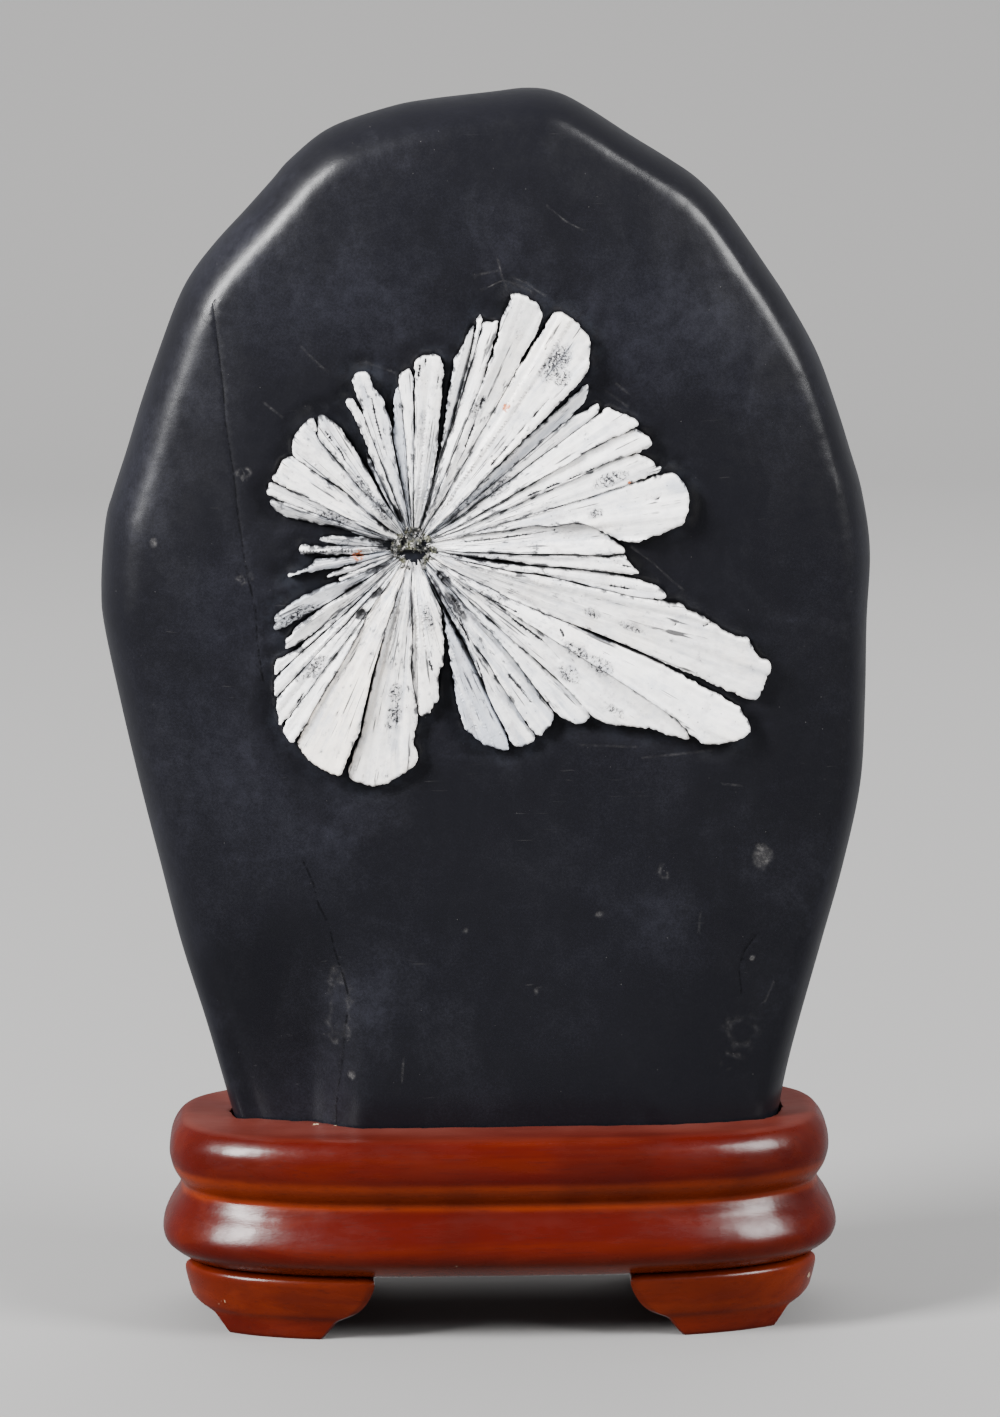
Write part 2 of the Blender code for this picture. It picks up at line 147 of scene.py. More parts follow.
def nearest(points, line, closed=False):
    # each point's distance to the line
    starts = line if closed else line[:-1]
    stops = np.roll(line, -1, axis=0) if closed else line[1:]
    best = np.full(len(points), 1e9)
    for start, stop in zip(starts, stops):
        edge = stop - start
        square = max(edge @ edge, 1e-12)
        t = np.clip((points - start) @ edge / square, 0, 1)
        gap = points - start - t[:, None] * edge
        best = np.minimum(best, np.einsum("ij,ij->i", gap, gap))
    return np.sqrt(best)


def within(points, loop):
    inside = np.zeros(len(points), dtype=bool)
    x, y = points[:, 0], points[:, 1]
    for (x1, y1), (x2, y2) in zip(loop, np.roll(loop, -1, axis=0)):
        if y1 == y2:
            continue
        crosses = (y1 > y) != (y2 > y)
        inside ^= crosses & (x < (x2 - x1) * (y - y1) / (y2 - y1) + x1)
    return inside


def sheet(points, lines, rim):
    # triangles between the points, keeping the given lines; only those inside the rim
    made = geometry.delaunay_2d_cdt([Vector(p) for p in points], lines, [], 1, 1e-6, False)
    flat = np.array([tuple(v) for v in made[0]])
    faces = np.array([tuple(f) for f in made[2]])
    faces = faces[within(flat[faces].mean(axis=1), rim)]
    return flat, [tuple(f) for f in faces.tolist()]


def addPiece(name, verts, faces, material, values=None, sharpAngle=35.0):
    # verts in millimetres from the stand's middle; nothing reaches past the solids' box
    verts = np.array(verts, dtype=float) + (standMiddle, 0, 0)
    verts = np.clip(verts, np.array(cadBox[0]) / mm, np.array(cadBox[1]) / mm)
    mesh = bpy.data.meshes.new(name)
    mesh.from_pydata((verts * mm).tolist(), [], faces)
    for key, numbers in (values or {}).items():
        layer = mesh.attributes.new(key, "FLOAT", "POINT")
        layer.data.foreach_set("value", np.asarray(numbers, dtype=np.float32))
    mesh.shade_smooth()
    mesh.set_sharp_from_angle(angle=math.radians(sharpAngle))
    mesh.materials.append(material)
    piece = bpy.data.objects.new(name, mesh)
    bpy.context.scene.collection.objects.link(piece)
    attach(piece, "root")
    return piece


# Material tools

class Surface:
    # one material and short ways to add nodes to it
    def __init__(self, name, **fixed):
        self.material = bpy.data.materials.new(name)
        self.material.use_nodes = True
        self.tree = self.material.node_tree
        self.shader = self.tree.nodes["Principled BSDF"]
        for socket, value in fixed.items():
            self.shader.inputs[socket.replace("_", " ")].default_value = value

    def add(self, kind, inputs=None, **settings):
        node = self.tree.nodes.new("ShaderNode" + kind)
        for key, value in settings.items():
            setattr(node, key, value)
        for key, value in (inputs or {}).items():
            self.feed(node.inputs[key], value)
        return node

    def feed(self, socket, value):
        if isinstance(value, bpy.types.NodeSocket):
            self.tree.links.new(value, socket)
        elif isinstance(value, tuple) and len(value) == 3 and socket.type == "RGBA":
            socket.default_value = (*value, 1.0)
        else:
            socket.default_value = value

    def place(self, stretch=(1, 1, 1)):
        # object coordinates in millimetres, stretched
        spot = self.add("TexCoord").outputs["Object"]
        scale = tuple(1000.0 * s for s in stretch)
        return self.add("Mapping", {"Vector": spot, "Scale": scale}).outputs["Vector"]

    def noise(self, vector, size, detail=3.0, rough=0.5, distort=0.0):
        node = self.add("TexNoise", {"Vector": vector, "Scale": 1.0 / size, "Detail": detail,
                                     "Roughness": rough, "Distortion": distort})
        return node.outputs["Fac"]

    def spots(self, vector, size):
        return self.add("TexVoronoi", {"Vector": vector, "Scale": 1.0 / size}).outputs["Distance"]

    def band(self, value, low, high, start=0.0, stop=1.0):
        node = self.add("MapRange", {"Value": value, "From Min": low, "From Max": high,
                                     "To Min": start, "To Max": stop})
        node.interpolation_type = "SMOOTHSTEP"
        return node.outputs["Result"]

    def sum(self, a, b):
        return self.add("Math", {0: a, 1: b}, operation="ADD").outputs["Value"]

    def times(self, a, b):
        return self.add("Math", {0: a, 1: b}, operation="MULTIPLY").outputs["Value"]

    def mix(self, share, a, b):
        node = self.add("Mix", data_type="RGBA", blend_type="MIX")
        self.feed(node.inputs["Factor"], share)
        self.feed(node.inputs[6], a)
        self.feed(node.inputs[7], b)
        return node.outputs[2]

    def reading(self, name):
        return self.add("Attribute", attribute_name=name).outputs["Fac"]

    def finish(self, colour=None, roughness=None, bumps=()):
        if colour is not None:
            self.feed(self.shader.inputs["Base Color"], colour)
        if roughness is not None:
            self.feed(self.shader.inputs["Roughness"], roughness)
        normal = None
        for height, depth in bumps:
            bump = self.add("Bump", {"Height": height, "Distance": depth * mm, "Strength": 1.0})
            if normal is not None:
                self.feed(bump.inputs["Normal"], normal)
            normal = bump.outputs["Normal"]
        if normal is not None:
            self.feed(self.shader.inputs["Normal"], normal)
        return self.material


# The crystals: outline and height of every blade

sprayShape = {
    "middle": (-19.1, 187.4),
    "heartRadius": 2.3,
    "heartRagged": 0.6,
    "heartSink": 2.4,       # how far the blades dip at their inner ends
    "dipReach": 15.0,       # and how far out they have come up again
    "sideRadius": 0.28,     # rounding along the blades' sides and at their tips
    "tipRadius": 0.6,
    "relief": 1.15,
    "rollStrength": 2.3,
    "lathStep": 0.42,       # between narrow blades that have grown together
    "fibreDepth": 0.16,
    "pitDepth": 1.3,
    "crackDepth": 0.5,
    "wallDepth": 3.4,
    "ragged": 0.24,
    "edgeSpacing": 0.55,
    "acrossSpacing": 0.34,
    "alongSpacing": 0.78,
}


def blade(rise, roll, tone, notch, tips, side=(), gap=(0.0, 1.0)):
    tips, side = (list(zip(row[::2], row[1::2])) for row in (tips, side))
    return {"rise": rise, "roll": roll, "tone": tone, "notch": notch, "tips": tips,
            "side": side, "gap": gap}


# For each blade, clockwise from the top: how far it rises over the slab, how much higher its
# left side is, its tone (below 0 blue-grey, 0 white, above 0 cream), the notch after it and the
# points of its tip, as x and z from the middle of the spray. A side line is given where it
# bends, from the notch in, and a gap (extra width and where it starts) where a cleft is wide.
blades = [
    blade(0.9, 0.0, -0.7, (-2.3, 33.0), [-4.1, 36.6, -3.4, 38.3, -2.9, 37.8]),
    blade(1.2, 0.2, -0.1, (0.6, 40.5), [-2.8, 37.7, -3.0, 39.5, -2.8, 41.2, -1.7, 42.2, -0.3,
          42.6]),
    blade(1.5, 0.0, 0.15, (4.3, 15.0), [0.7, 43.6, 1.1, 44.6, 2.8, 45.7, 4.6, 46.0, 6.5, 45.6, 7.2,
          44.2, 7.3, 42.5, 6.3, 30.0, 5.4, 22.0]),
    blade(1.0, -0.5, -0.45, (14.5, 50.0), [6.4, 22.5, 7.9, 32.0, 9.1, 39.7, 9.6, 42.5, 10.1, 45.0,
          11.5, 47.1, 13.1, 50.2, 13.8, 52.0, 14.7, 52.6], side=[13.3, 44.7, 11.2, 36.9, 8.5, 26.7,
          6.9, 20.0]),
    blade(0.8, 0.0, -0.2, (16.2, 51.5), [15.6, 54.9, 16.5, 55.0]),
    blade(1.3, 0.3, -0.1, (16.6, 40.0), [16.9, 53.3, 18.9, 53.5, 20.3, 53.3, 18.9, 48.0]),
    blade(1.6, -0.35, 0.2, (23.4, 40.5), [19.6, 48.0, 21.6, 55.3, 23.1, 58.5, 23.4, 59.9, 24.8,
          60.2, 26.2, 59.8, 28.0, 58.3, 29.3, 57.6, 30.4, 55.8, 30.4, 54.2, 27.4, 48.0]),
    blade(2.1, 0.45, 0.3, (24.0, 24.0), [28.7, 48.4, 31.0, 51.9, 32.1, 53.8, 33.2, 55.5, 34.6, 55.7,
          36.3, 55.0, 38.4, 53.2, 40.2, 51.2, 41.2, 49.8, 41.6, 47.7, 41.3, 44.9, 41.2, 42.8, 40.0,
          40.7, 32.0, 32.2], gap=(0.2, 18)),
    blade(0.9, 0.2, -0.5, (34.1, 28.6), [33.2, 31.9, 37.7, 36.0, 40.8, 38.5, 41.0, 37.1, 39.4,
          33.6]),
    blade(1.1, 0.0, -0.25, (43.5, 31.8), [37.6, 31.2, 40.8, 32.6, 42.2, 33.6, 43.7, 34.1]),
    blade(1.6, 0.3, 0.0, (45.2, 25.4), [45.3, 32.8, 46.2, 32.8, 47.6, 32.1, 49.9, 31.3, 51.8, 30.5,
          52.6, 28.9]),
    blade(1.5, 0.25, 0.0, (48.5, 21.4), [50.3, 27.3, 52.7, 27.9, 54.1, 26.9, 56.0, 25.2, 55.6, 24.1,
          53.2, 22.9]),
    blade(1.3, 0.2, -0.1, (49.0, 14.5), [52.7, 22.2, 53.6, 21.6, 55.9, 20.6, 56.8, 19.4, 57.6,
          18.2]),
    blade(2.0, 0.3, 0.15, (43.4, 4.6), [57.8, 17.1, 59.6, 17.3, 61.5, 17.0, 63.3, 15.1, 64.3, 12.7,
          64.5, 10.4, 64.0, 7.6, 62.8, 5.5, 60.0, 4.4, 58.1, 3.4, 54.4, 2.5, 53.0, 1.7, 51.4, 1.5,
          49.6, 2.0, 47.6, 2.6], side=[38.7, 6.1, 33.0, 5.4, 27.5, 5.6, 17.5, 4.0, 9.2, 3.2]),
    blade(1.4, 0.3, 0.1, (44.0, -1.7), [46.4, 2.2, 49.3, -0.8], gap=(0.12, 10)),
    blade(1.6, 0.0, 0.0, (48.0, -6.1), [49.1, -1.9, 49.8, -2.6, 50.7, -4.0, 52.8, -6.0], side=[40.5,
          -5.0, 35.8, -4.5, 28.1, -3.9, 17.0, -2.2], gap=(0.1, 20)),
    blade(1.1, 0.1, -0.2, (56.0, -12.2), [51.6, -7.4, 56.5, -9.2, 58.3, -10.4, 59.0, -12.0],
          side=[49.3, -11.0, 40.5, -8.7, 29.9, -6.2, 21.6, -4.8]),
    blade(2.0, -0.3, 0.15, (58.2, -27.4), [60.1, -13.4, 62.6, -13.5, 64.4, -15.1, 67.4, -16.3, 70.4,
          -18.2, 72.2, -19.8, 75.2, -21.4, 78.2, -22.0, 79.4, -24.1, 81.2, -26.5, 83.0, -27.4, 83.6,
          -29.2, 82.1, -33.2, 80.6, -36.0, 78.3, -36.3, 70.4, -32.6], side=[48.1, -22.7, 40.5,
          -19.4, 32.2, -16.0, 24.0, -12.4, 18.0, -9.3, 12.2, -6.4], gap=(0.36, 40)),
    blade(1.8, 0.5, 0.1, (61.1, -40.4), [66.0, -32.3, 72.8, -36.2, 76.1, -38.4, 77.2, -40.4, 78.8,
          -42.3, 78.2, -44.4, 75.2, -45.9, 69.8, -46.6, 66.2, -45.4], side=[55.8, -36.7, 47.0,
          -30.8]),
    blade(1.5, 0.1, 0.0, (38.4, -36.1), [64.6, -45.4, 59.0, -44.3, 55.4, -43.0, 50.0, -42.3, 45.8,
          -41.7, 42.2, -40.2], side=[32.2, -29.8, 27.5, -25.5, 22.0, -20.4]),
    blade(1.4, 0.2, -0.25, (30.6, -36.2), [41.0, -39.7, 38.6, -41.6, 36.8, -41.2, 33.8, -39.4],
          side=[28.7, -33.8, 24.5, -27.9, 20.4, -22.5, 16.9, -18.6]),
    blade(1.6, 0.3, -0.3, (25.6, -40.4), [32.6, -38.9, 32.3, -40.7, 30.8, -42.8, 28.9, -44.3],
          side=[21.0, -33.2, 17.5, -27.2, 13.3, -21.2]),
    blade(1.4, 0.0, -0.4, (20.8, -42.3), [27.9, -44.7, 26.0, -46.5, 23.2, -46.5], side=[18.6, -38.2,
          15.6, -31.0, 12.6, -24.0]),
    blade(0.9, 0.5, -0.8, (6.5, -14.0), [21.8, -47.6, 18.1, -46.7, 15.7, -45.8, 12.9, -43.6, 11.3,
          -41.5, 10.0, -37.0, 8.9, -30.0, 7.9, -22.0], gap=(0.2, 8)),
    blade(1.7, -0.3, 0.35, (0.0, -35.4), [6.6, -19.6, 6.9, -23.5, 6.5, -27.4, 5.7, -29.0, 5.5,
          -33.7, 5.2, -36.2, 4.1, -36.6, 3.6, -38.4, 2.0, -39.1, 0.9, -38.8], side=[-0.9, -28.0,
          -0.5, -18.7, -0.9, -10.0]),
    blade(1.7, -0.1, 0.35, (-12.7, -41.9), [0.5, -40.0, -0.3, -43.4, -0.5, -46.5, 0.2, -47.7, 0.5,
          -49.3, -0.3, -50.9, -2.6, -52.8, -4.9, -53.9, -7.2, -55.2, -9.6, -55.7, -11.9, -55.5,
          -14.6, -54.4, -15.8, -52.9, -14.6, -48.5], side=[-11.0, -34.3, -8.9, -26.1, -6.4, -17.2],
          gap=(0.25, 24)),
    blade(2.2, -0.5, 0.75, (-25.4, -40.4), [-16.2, -48.9, -17.7, -52.6, -20.0, -52.4, -22.7, -51.2,
          -25.0, -49.4, -27.0, -47.0, -27.5, -45.1], side=[-22.1, -34.3, -16.6, -25.6, -12.4, -17.8,
          -9.8, -12.6]),
    blade(1.5, -0.2, -0.05, (-28.6, -37.6), [-28.4, -44.3, -29.0, -45.3, -30.4, -43.7, -31.1,
          -41.8]),
    blade(1.4, -0.1, 0.05, (-30.6, -32.4), [-31.6, -41.0, -32.2, -39.8, -32.5, -35.2]),
    blade(1.3, 0.0, 0.0, (-29.6, -26.6), [-32.8, -34.3, -32.9, -30.6]),
    blade(1.1, 0.2, 0.0, (-23.4, -19.3), [-32.9, -29.2, -32.7, -26.0, -31.2, -25.2, -28.0, -23.6]),
    blade(1.3, 0.3, -0.1, (-21.5, -13.2), [-29.7, -23.0, -30.1, -21.3, -28.9, -19.7, -27.0, -17.4]),
    blade(0.9, 0.3, -0.65, (-17.0, -7.2), [-31.8, -18.4, -32.6, -16.5, -32.4, -14.9, -30.4, -13.7,
          -27.7, -11.6, -24.2, -9.9, -21.0, -8.4]),
    blade(1.1, 0.0, -0.2, (-14.6, -4.9), [-17.6, -7.0, -17.4, -6.2]),
    blade(1.2, 0.0, 0.1, (-13.0, -3.0), [-20.1, -6.2, -18.0, -4.6]),
    blade(0.9, 0.2, -0.5, (-12.0, -1.1), [-22.7, -4.6, -29.5, -5.8, -26.6, -4.8, -24.2, -3.4, -22.7,
          -2.0, -19.2, -1.7]),
    blade(1.0, 0.2, -0.1, (-16.0, 1.2), [-23.8, -0.5, -26.2, -0.5, -26.7, 0.6, -26.0, 1.4, -23.8,
          1.2, -20.0, 0.9]),
    blade(0.9, 0.3, -0.25, (-12.0, 3.4), [-20.4, 2.0, -22.0, 2.7, -20.8, 3.3, -17.8, 3.4]),
    blade(1.2, 0.4, -0.15, (-29.6, 11.6), [-18.1, 5.6, -21.7, 6.2, -25.0, 7.0, -27.9, 7.6, -30.9,
          8.7, -32.8, 10.4, -33.4, 12.0]),
    blade(1.4, 0.1, -0.05, (-27.6, 14.3), [-33.1, 13.1, -34.2, 14.2, -33.8, 15.3, -32.8, 16.2]),
    blade(1.9, -0.3, 0.25, (-26.6, 21.4), [-32.7, 17.2, -31.8, 18.3, -31.2, 20.1, -29.7, 21.8,
          -28.5, 22.3], side=[-22.7, 18.6, -15.8, 13.8, -10.6, 8.9]),
    blade(1.5, 0.2, -0.05, (-22.2, 27.0), [-28.0, 23.2, -28.3, 24.0, -28.0, 25.9, -26.8, 28.5,
          -24.6, 30.4, -23.0, 30.8], side=[-20.0, 24.3, -15.8, 19.2, -12.7, 15.4, -7.5, 10.1]),
    blade(1.6, -0.2, 0.0, (-10.5, 19.5), [-22.0, 31.2, -21.0, 31.8, -19.2, 30.9, -18.0, 30.2, -15.7,
          27.2], gap=(0.3, 8)),
    blade(1.0, 0.0, -0.3, (-8.4, 18.4), [-10.9, 22.9, -10.2, 21.8]),
    blade(1.1, 0.0, -0.15, (-11.3, 31.5), [-13.0, 30.5, -15.5, 34.8, -14.3, 35.8, -13.5, 35.2]),
    blade(1.2, 0.4, -0.35, (-4.7, 27.0), [-13.5, 38.6, -13.4, 41.2, -12.0, 42.1, -10.3, 41.7, -9.1,
          38.4, -7.6, 36.6, -6.1, 33.6, -5.4, 31.5], gap=(0.15, 12)),
]

# fine dark cracks inside the blades
cracks = [
    [(0.3, 38.0), (0.4, 31.7), (0.5, 24.0)], [(1.9, 43.6), (1.6, 41.2)],
    [(6.2, 41.0), (5.8, 38.2)], [(3.3, 45.2), (3.2, 43.2)],
    [(31.9, 35.6), (27.0, 30.2), (22.5, 25.0), (18.3, 20.2)], [(33.5, 51.0), (31.2, 47.2)],
    [(54.6, 11.4), (57.4, 11.7), (58.1, 12.8)],
    [(12.1, 1.9), (20.4, 2.7), (28.1, 3.7), (33.0, 4.5)],
    [(50.9, -4.3), (47.6, -3.6)], [(35.6, -13.1), (34.6, -12.0)], [(13.2, -9.2), (24.0, -14.6)],
    [(35.0, -20.4), (34.2, -19.0)], [(61.0, -18.2), (61.8, -17.4)], [(67.8, -18.4), (68.9, -18.0)],
    [(21.9, -29.6), (24.5, -32.8), (27.2, -36.1)], [(20.5, -14.5), (30.5, -22.0), (34.0, -26.0)],
    [(2.9, -23.1), (3.4, -26.0), (4.1, -28.4)], [(-4.2, -36.0), (-4.4, -41.0)],
    [(-33.0, -29.8), (-29.3, -26.4)], [(-31.6, -41.2), (-28.6, -37.0), (-26.0, -33.2)],
    [(-31.8, -34.6), (-29.6, -32.2)], [(-20.4, 28.4), (-16.8, 23.6), (-15.2, 20.4)],
    [(-33.2, 16.5), (-28.9, 14.8), (-24.5, 13.0)], [(-9.4, 36.0), (-8.2, 30.0), (-6.6, 24.0)],
    [(40.8, 11.9), (48.1, 14.4)], [(26.9, 12.8), (38.1, 17.2), (46.0, 20.6)],
    [(39.3, 22.5), (44.6, 25.0)], [(52.0, -9.8), (46.0, -8.8)],
    [(10.6, -16.0), (14.2, -25.0), (16.9, -34.3)],
    [(-10.4, 13.6), (-6.6, 8.8)], [(16.5, 36.0), (14.4, 30.0), (12.3, 24.6)],
]

# patches of dark grains: x, z, half length outwards, half width, strength
grainPatches = [
    (33.6, 43.8, 5.2, 2.9, 1.0), (35.2, 40.4, 2.4, 2.0, 0.9), (15.4, 33.8, 3.6, 1.5, 0.8),
    (46.2, 16.4, 4.6, 1.7, 1.0), (42.8, 8.4, 2.2, 1.2, 0.8), (19.6, 14.8, 4.6, 2.0, 0.8),
    (12.0, 11.4, 4.0, 1.6, 0.6), (41.6, -15.0, 2.4, 1.4, 0.8), (51.0, -18.6, 4.4, 1.2, 0.6),
    (38.0, -24.0, 4.0, 1.8, 0.8), (43.6, -27.6, 4.0, 2.4, 0.7), (36.0, -29.5, 3.6, 2.2, 0.7),
    (47.0, -38.5, 3.8, 1.4, 0.6), (-4.6, -33.6, 2.6, 1.6, 1.0), (-5.0, -38.6, 2.6, 1.8, 1.0),
    (-5.6, -41.4, 1.2, 2.2, 0.7), (3.2, -16.0, 5.0, 1.4, 0.7), (-23.6, -27.4, 4.0, 1.8, 0.9),
    (-27.2, -29.6, 1.6, 1.4, 0.7), (-27.0, -15.4, 6.0, 2.2, 1.0), (-19.0, 8.0, 5.0, 1.5, 0.8),
    (-12.0, 15.6, 5.0, 1.3, 0.9), (-7.0, 9.6, 3.4, 1.6, 1.0), (-17.6, 1.2, 5.0, 2.2, 0.6),
    (2.2, 30.0, 6.0, 1.4, 0.4), (25.5, 51.0, 3.0, 2.0, 0.35), (-4.5, 32.0, 3.0, 1.2, 0.5),
    (18.0, -10.5, 5.0, 2.0, 0.5), (9.0, -14.0, 4.0, 1.6, 0.7),
]
# pits where dark rock shows between the blades, given the same way
pits = [
    (-5.8, 1.0, 3.6, 1.1, 1.0), (-9.5, 2.2, 3.0, 0.6, 0.7), (-12.6, -14.8, 1.3, 0.8, 1.2),
    (-9.0, -10.5, 2.2, 0.8, 0.8), (7.4, -7.0, 3.0, 1.0, 0.9), (9.6, -13.0, 4.0, 0.9, 0.9),
    (5.2, -9.0, 3.4, 0.8, 0.7), (19.0, -2.6, 9.5, 0.55, 1.1), (3.0, 8.8, 3.2, 0.5, 0.6),
    (-3.4, 8.0, 3.2, 0.6, 0.7), (-7.0, 5.4, 3.0, 0.7, 0.6), (-8.0, -4.0, 3.6, 0.6, 0.8),
    (-15.0, -9.2, 4.0, 0.6, 0.7), (10.5, -20.0, 5.0, 0.7, 0.6), (-11.6, 22.0, 5.0, 0.9, 0.8),
    (-16.0, 5.0, 4.0, 0.5, 0.7),
]
rustSpots = [(22.0, 33.6, 1.0), (-13.0, -0.9, 1.3), (50.5, 15.8, 0.5)]


def slabInset(points):
    return nearest(points, slabRim, closed=True)


def edgeRadius(points):
    # the shoulders are rounder on the left than on the right
    left, right = slabShape["edgeRadius"]
    return left + (right - left) * ease(points[:, 0], -35, 30)


def faceDepth(points, side=-1):
    # how far the slab's front lies in front of its middle plane; it is cut back at the lower left
    inset = slabInset(points)
    radius = edgeRadius(points)
    shoulder = 1 - np.minimum(inset, radius) / radius
    rise = 1 - np.minimum(inset, slabShape["domeReach"]) / slabShape["domeReach"]
    depth = slabShape["shoulderDepth"] * np.sqrt(1 - shoulder ** 2)
    depth = depth + (slabShape["middleDepth"] - slabShape["shoulderDepth"]) * (1 - rise ** 2)
    if side < 0:
        x, z = points[:, 0], points[:, 1]
        cut = slabShape["cornerCut"] * ease(x, -32, -45) * ease(z, 104, 56) * ease(inset, 0, 7)
        depth = depth - cut
    return depth


slabShape = {
    # up the left side, over the top and down the right side
    "outline": [
        (-56.5, 24.0), (-62.0, 43.0), (-64.8, 52.7), (-69.8, 71.1), (-75.6, 90.7), (-80.3, 110.2),
        (-84.9, 129.6), (-89.1, 149.0), (-92.8, 168.3), (-93.2, 178.0), (-91.9, 192.3),
        (-89.9, 199.4), (-86.7, 208.9), (-82.9, 220.8), (-78.7, 232.6), (-74.1, 244.5),
        (-70.2, 251.5), (-64.5, 258.6), (-57.9, 265.6), (-51.5, 272.6), (-47.0, 277.6),
        (-37.6, 284.8), (-23.4, 289.6), (-14.0, 291.3), (0.1, 292.8), (9.5, 293.7), (16.5, 292.4),
        (23.6, 288.6), (33.0, 282.4), (42.4, 276.5), (49.2, 271.6), (55.8, 264.4), (65.6, 250.1),
        (70.2, 242.9), (76.7, 231.0), (81.1, 219.0), (84.8, 207.0), (87.5, 197.4), (89.4, 183.5),
        (88.6, 166.2), (88.2, 147.0), (87.1, 127.6), (83.0, 108.2), (77.6, 88.8), (72.1, 69.3),
        (69.0, 57.0), (66.2, 43.0), (61.5, 24.0),
    ],
    "baseHeight": 43.3,
    "shoulderDepth": 14.0,
    "middleDepth": 21.9,
    "edgeRadius": (9.5, 6.5),
    "domeReach": 45.0,
    "cornerCut": 7.5,
    "rimPoints": 440,
    "frontSpacing": 1.7,
    "hollowSpacing": 0.95,
    "backSpacing": 3.2,
    "hollowDepth": 1.3,     # the stone is cut back round the crystals
    "hollowWidth": 5.5,
    "hairlineDepth": 0.13,
    "scratchDepth": 0.03,
}
slabRim = roundCurve(slabShape["outline"], slabShape["rimPoints"])


def sprayOutline():
    middle = np.array(sprayShape["middle"])
    loop = []
    for row in blades:
        loop += [middle + point for point in np.array(row["tips"] + [row["notch"]])]
    return np.array(loop)


def innerAngles():
    # where each side line starts round the heart, spread so that no two touch
    angles = []
    for row in blades:
        x, z = (row["side"] or [row["notch"]])[-1]
        angles.append(math.atan2(z, x))
    angles = -np.unwrap(angles)
    room = math.radians(5.2)
    for _ in range(200):
        gaps = np.diff(np.append(angles, angles[0] + 2 * math.pi))
        push = np.clip(room - gaps, 0, None) / 2
        angles = angles - push + np.roll(push, 1)
    return -angles


def sideLine(index):
    # from the heart out to the notch after this blade
    index = index % len(blades)
    row = blades[index]
    points = [np.array(p) for p in row["side"][::-1] + [row["notch"]]]
    ragged = 1.0 + sprayShape["heartRagged"] * float(waves(index * 1.7, 0.3, seed=5))
    reach = sprayShape["heartRadius"] * ragged
    points = [p for p in points if np.hypot(*p) > reach + 2.0]
    angle = heartAngles[index]
    line = np.array([(reach * math.cos(angle), reach * math.sin(angle))] + points)
    line = spaced(line, sprayShape["edgeSpacing"], 5)
    away = np.hypot(*line.T)
    sway = 0.14 * waves(away / 6.0, index * 2.3, seed=24) + 0.03 * waves(away / 1.5, index, seed=25)
    sway = sway * ease(away, 3, 12) * (1 - ease(away, away[-1] - 1.5, away[-1]))
    return line + np.stack([-line[:, 1], line[:, 0]], axis=1) / away[:, None] * sway[:, None]


heartAngles = innerAngles()


def cleft(index, along):
    # half the width of the dark line beside a blade; the blades are fused here and there
    wander = waves(along / 5.0, index * 3.1, seed=21)
    wander = wander + 0.28 * waves(along / 1.6, index * 1.3, seed=22)
    wide = 0.07 + 0.17 * np.clip(wander + 0.3, 0, 1.2)
    wide = wide * (0.75 + 0.5 * float(waves(index * 2.1, 0.7, seed=23)))
    wide = wide * (0.3 + 0.7 * ease(along, 2, 24))
    extra, start = blades[index]["gap"]
    return wide + extra * ease(along, start, start + 9)


def bladeLoop(index):
    # one blade's own edge, clockwise from its inner left corner, and which points are its tip
    left, right = sideLine(index - 1), sideLine(index)
    sides = []
    for line, other, turn, number in ((left, right, 1, index - 1), (right, left, -1, index)):
        room = 0.28 * nearest(line, other)
        width = np.minimum(cleft(number % len(blades), np.hypot(*line.T)), room)
        sides.append(line + rightNormals(line) * turn * width[:, None])
    tip = np.array([sides[0][-1]] + blades[index]["tips"] + [sides[1][-1]])
    tip = spaced(tip, 0.72 * sprayShape["edgeSpacing"], 4)
    wobble = ripple(tip[:, 0], tip[:, 1], seed=31 + index) * sprayShape["ragged"]
    wobble[0] = wobble[-1] = 0.0
    tip = tip - rightNormals(tip) * wobble[:, None]
    loop = np.vstack([sides[0][:-1], tip, sides[1][::-1][1:]])
    atTip = np.zeros(len(loop), dtype=bool)
    atTip[len(sides[0]) - 1:len(sides[0]) - 1 + len(tip)] = True
    keep = np.hypot(*(loop - np.roll(loop, 1, axis=0)).T) > 0.07
    return loop[keep], atTip[keep]


def crackReadings(points):
    depth = np.zeros(len(points))
    for number, line in enumerate(cracks):
        away = nearest(points, np.array(line, dtype=float))
        broken = 0.55 + 0.45 * hills(points, 1.6, 60 + number)
        depth = np.maximum(depth, (1 - ease(away, 0.05, 0.32)) * np.clip(broken, 0, 1))
    return depth


